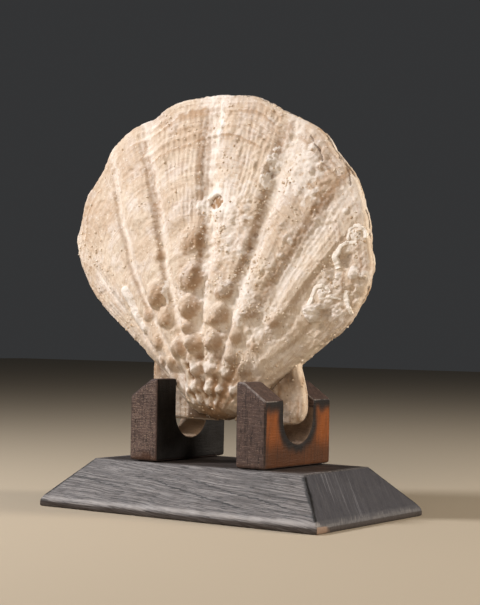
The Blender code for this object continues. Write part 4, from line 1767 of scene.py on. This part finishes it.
@dataclass
class CradleBlock:
    """An upright block with a notch for one ear."""

    side: int
    inner: float = 22.9
    outer: float = 39.6
    depth: float = 55.6
    bottom: float = 23.7
    top: float = 63.3
    chamfer_run: float = 12.4
    chamfer_drop: float = 8.5
    notch_radius: float = 12.5
    notch_floor: float = 34.5
    voxel: float = 0.55
    easing: int = 26  # passes that round the arrises
    timber: Timber = Timber((-40.0, -70.0, 0.0), (0.03, 0.06, 1.0), 0.3, (9.0, 9.0, 24.0))

    def outline(self) -> list[Pair]:
        """The block's outline seen from the front.

        Returns:
            Its (x, z) corners.
        """
        return [
            (self.inner, self.bottom),
            (self.outer, self.bottom),
            (self.outer, self.top - self.chamfer_drop),
            (self.outer - self.chamfer_run, self.top),
            (self.inner, self.top),
        ]

    def prism(self, name: str, loop: list[Pair], along_x: bool, reach: Pair) -> Object:
        """A closed solid with the same outline at both ends.

        Args:
            name: the solid's name.
            loop: the outline.
            along_x: whether it runs along X, with an outline in (y, z), or along Y.
            reach: where it starts and ends.

        Returns:
            The solid.
        """
        shape = bmesh.new()
        ends = []
        for place in reach:
            rows = [(place, a, b) if along_x else (a, place, b) for a, b in loop]
            ends.append([shape.verts.new([v * MM for v in row]) for row in rows])
        shape.faces.new(ends[0])
        shape.faces.new(reversed(ends[1]))
        for i in range(len(loop)):
            j = (i + 1) % len(loop)
            shape.faces.new((ends[0][j], ends[0][i], ends[1][i], ends[1][j]))
        bmesh.ops.recalc_face_normals(shape, faces=shape.faces)
        mesh = bpy.data.meshes.new(name)
        shape.to_mesh(mesh)
        shape.free()
        return new_object(name, mesh)

    def build(self, name: str) -> Object:
        """Makes the block's piece.

        Args:
            name: the piece's name.

        Returns:
            The object, with eased arrises and scorched sides.
        """
        mesh = self.shape(name)
        count = len(mesh.vertices)
        points, normals = np.empty(count * 3), np.empty(count * 3)
        mesh.vertices.foreach_get("co", points)
        mesh.vertex_normals.foreach_get("vector", normals)
        points, normals = points.reshape(-1, 3) / MM, normals.reshape(-1, 3)
        faces = [tuple(polygon.vertices) for polygon in mesh.polygons]
        tones = self.timber.tones(points, 40 + self.side) | self.tones(points, normals)
        if self.side < 0:  # the left block is the right one turned half round
            points = points * (-1.0, -1.0, 1.0)
        blank = mesh_object(name + "_blank", points, faces, tones)
        values = {"Fibre Width": 1.4, "Fibre Length": 18.0, "Depth": 0.22 * MM}
        return grown_piece(name, blank, brushed_tree(CHARRED_BLOCK.make()), values)

    def shape(self, name: str) -> bpy.types.Mesh:
        """The notched block in even cells, its arrises rounded.

        Args:
            name: the mesh's name.

        Returns:
            The mesh, in metres.
        """
        ends = (-self.depth / 2, self.depth / 2)
        block = self.prism(name + "_blank", self.outline(), False, ends)
        centre = self.notch_floor + self.notch_radius
        radius, clear = self.notch_radius, 8.0  # the cutter reaches clear of the block
        turns = np.linspace(math.pi, 2 * math.pi, 33)
        loop = [(radius * math.cos(t), centre + radius * math.sin(t)) for t in turns]
        loop += [(radius, self.top + clear), (-radius, self.top + clear)]
        cutter = self.prism(name + "_cutter", loop, True, (self.inner - clear, self.outer + clear))
        cut = block.modifiers.new("notch", "BOOLEAN")
        cut.object = cutter
        remesh = block.modifiers.new("voxels", "REMESH")
        remesh.mode = "VOXEL"
        remesh.voxel_size = self.voxel * MM
        ease = block.modifiers.new("ease", "SMOOTH")
        ease.factor = 0.5
        ease.iterations = self.easing
        mesh = evaluated(block, name)
        bpy.data.objects.remove(cutter)
        return mesh

    def tones(self, points: Array, normals: Array) -> Tones:
        """Where the block is worn, with a painted sheen on its arrises, where its wood is scorched but
        not charred, and where painted shade lies on its face towards the shell.

        Args:
            points: (x, y, z) rows in mm.
            normals: the surface's direction at each one.

        Returns:
            The tones that the finish reads.
        """
        x, y, z = points.T
        centre = self.notch_floor + self.notch_radius
        radial = np.stack([np.zeros(len(x)), -y, centre - z], 1)
        radial /= np.maximum(np.linalg.norm(radial, axis=1), 1e-9)[:, None]
        slope = np.array([self.chamfer_drop, 0.0, self.chamfer_run])
        slope /= np.linalg.norm(slope)
        inward = np.sum(normals * radial, axis=1)
        flat = np.max(np.stack([*np.abs(normals.T), normals @ slope, inward]), axis=0)
        # the rounded arrises, which carry wear and a painted sheen
        wear_and_sheen = smoothstep(0.003, 0.06, 1.0 - flat)
        ways = (normals[:, 0], -normals[:, 0], np.abs(normals[:, 1]))
        side, shell_side, ends = (smoothstep(0.7, 0.95, way) for way in ways)
        crown = self.top - self.chamfer_drop - z
        rim = np.where(z > centre, np.abs(y), np.hypot(y, z - centre)) - self.notch_radius
        stray = layered(points, (5.0, 5.0, 12.0), 7)
        clear = smoothstep(-0.5, 8.0, crown + 1.2 * stray)
        clear = np.minimum(clear, smoothstep(0.2, 6.5, rim + 1.2 * stray))
        clear = np.minimum(clear, smoothstep(0.1, 1.8, self.depth / 2 + y + 0.3 * stray))
        foot = 1.0 - smoothstep(self.bottom + 0.5, self.bottom + 5.5, z + 2.0 * stray)
        flank = smoothstep(9.0, 17.0, np.abs(y - 1.0)) * smoothstep(29.0, 40.0, z)
        flank *= np.where(y < 0, 0.8, 1.0)
        arris_wear_and_sheen = wear_and_sheen * (1.0 if self.side > 0 else 0.4)
        notched = smoothstep(0.6, 0.9, inward)
        notched *= (z < centre + 4.0) * (np.abs(y) < self.notch_radius + 0.8)
        arris = 0.5 * arris_wear_and_sheen * (z < 52.0) * (z > self.bottom + 2.0)
        return {
            "wear_and_sheen": arris_wear_and_sheen * smoothstep(50.0, 56.0, z + 3.0 * stray) * (x > self.inner + 1.5),
            "char": np.maximum(side * (1.0 - clear), arris),
            "bare": np.maximum(side, 0.55 * foot * ends),
            "glow": side * clear * (0.32 + 0.68 * flank),
            "sawn": ends * (0.99 if self.side > 0 else 1.05),
            # painted shade over the whole face towards the shell
            "inner_face_shade": shell_side,
            "dust": notched * (0.5 if self.side > 0 else 0.95),
        }


# --------------------------------------------------------------------- studio


@dataclass(frozen=True)
class Camera:
    """The camera: its place in mm, its aim in radians and its reach in pixels."""

    place: Triple = (418.56, -582.93, 84.16)
    azimuth: float = 0.6174
    elevation: float = -0.0227
    roll: float = 0.0164
    focal_pixels: float = 1485.0
    sensor: float = 36.0

    def build(self) -> None:
        """Sets the scene's camera."""
        az, el, roll = self.azimuth, self.elevation, self.roll
        back = Vector((math.sin(az) * math.cos(el), -math.cos(az) * math.cos(el), math.sin(el)))
        level = Vector((math.cos(az), math.sin(az), 0.0))
        upright = back.cross(level)
        right = level * math.cos(roll) + upright * math.sin(roll)
        up = upright * math.cos(roll) - level * math.sin(roll)
        data = bpy.data.cameras.new("camera")
        data.sensor_fit = "HORIZONTAL"
        data.sensor_width = self.sensor
        data.lens = self.focal_pixels * self.sensor / FRAME_WIDTH
        data.clip_start = 0.01
        data.clip_end = 20.0
        thing = new_object("camera", data)
        turn = Matrix((right, up, back)).transposed().to_4x4()
        thing.matrix_world = Matrix.Translation(Vector(self.place) * MM) @ turn
        bpy.context.scene.camera = thing


@dataclass(frozen=True)
class Softbox:
    """A square light: its name, place and aim in mm, size in mm, watts and colour."""

    name: str
    place: Triple
    size: float
    power: float
    tone: str
    aim: Triple = (0.0, 0.0, 110.0)

    def build(self) -> None:
        """Hangs the light."""
        data = bpy.data.lights.new(self.name, "AREA")
        data.shape = "SQUARE"
        data.size = self.size * MM
        data.energy = self.power
        data.color = linear(self.tone)[:3]
        thing = new_object(self.name, data)
        place = Vector(self.place) * MM
        thing.location = place
        thing.rotation_euler = (place - Vector(self.aim) * MM).to_track_quat("Z", "Y").to_euler()


@dataclass(frozen=True)
class Studio:
    """A plain pale floor under soft light."""

    floor_tone: str = "#B6A994"
    floor_span: float = 6000.0
    world_tone: str = "#B9BBBE"
    world_strength: float = 0.07
    lights: tuple[Softbox, ...] = (
        Softbox("key", (-430.0, -410.0, 590.0), 130.0, 6.25, "#FDFCFF"),
        Softbox("fill", (450.0, -1400.0, 700.0), 700.0, 8.6, "#FFEDDB"),
        Softbox("rim", (1000.0, 420.0, 420.0), 300.0, 12.0, "#FFF4E6"),
    )

    def build(self) -> None:
        """Lays the floor and sets the light."""
        half = self.floor_span / 2
        corners = [(-half, -half, 0.0), (half, -half, 0.0), (half, half, 0.0), (-half, half, 0.0)]
        floor = mesh_object("floor", corners, [(0, 1, 2, 3)], {})
        material = bpy.data.materials.new("matt_painted_floor")
        material.use_nodes = True
        shader = material.node_tree.nodes["Principled BSDF"]
        shader.inputs["Base Color"].default_value = linear(self.floor_tone)
        shader.inputs["Roughness"].default_value = 0.9
        floor.data.materials.append(material)
        bpy.context.scene.view_settings.view_transform = "Standard"
        world = bpy.data.worlds.new("studio")
        world.use_nodes = True
        sky = world.node_tree.nodes["Background"]
        sky.inputs["Color"].default_value = linear(self.world_tone)
        sky.inputs["Strength"].default_value = self.world_strength
        bpy.context.scene.world = world
        for light in self.lights:
            light.build()


# ----------------------------------------------------------------------- main


def declare(piece: Object, node: str = "") -> None:
    """Hangs a piece on the root body, hides the node that it replaces and logs its triangles.

    Args:
        piece: the piece.
        node: the node that it replaces, if it replaces one.
    """
    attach(piece, "root")
    if node:
        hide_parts(node)
    triangles = sum(len(polygon.vertices) - 2 for polygon in piece.data.polygons)
    LOG.info("%s: %d triangles", piece.name, triangles)


def main() -> None:
    """Builds every piece in order."""
    logging.basicConfig(level=logging.INFO, format="%(name)s: %(message)s")
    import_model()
    Camera().build()
    Studio().build()
    shell_finish = FOSSIL_SHELL.make()
    front = MarkedValve(
        Facing.FRONT, FRONT_GROOVES, FRONT_KNOBS, FRONT_LEDGES, seed=11, cells=272
    )
    back = Valve(Facing.BACK, BACK_GROOVES, BACK_KNOBS, BACK_LEDGES, seed=511, cells=200)
    for valve, node in ((front, "front_valve"), (back, "back_valve")):
        piece = valve.build(node + "_shell")
        piece.data.materials.append(shell_finish)
        declare(piece, node)
    declare(WormTubes(front).build("worm_tubes", WORM_LIME.make()))
    silt = SILT_CRUMB.make()
    for node, density in CRUMBS_PER_SQUARE_METRE.items():
        ground = new_object(node + "_ground", bpy.data.objects[node + "_shell"].data)
        values = {"Density": density, "Least": 0.25 * MM, "Most": 0.85 * MM}
        declare(grown_piece(node + "_crumbs", ground, crumb_tree(silt), values))
    declare(BaseBoard().build("base_board"), "base")
    declare(CradleBlock(1).build("right_cradle_block"), "right_block")
    declare(CradleBlock(-1).build("left_cradle_block"), "left_block")


if __name__ == "__main__":
    main()
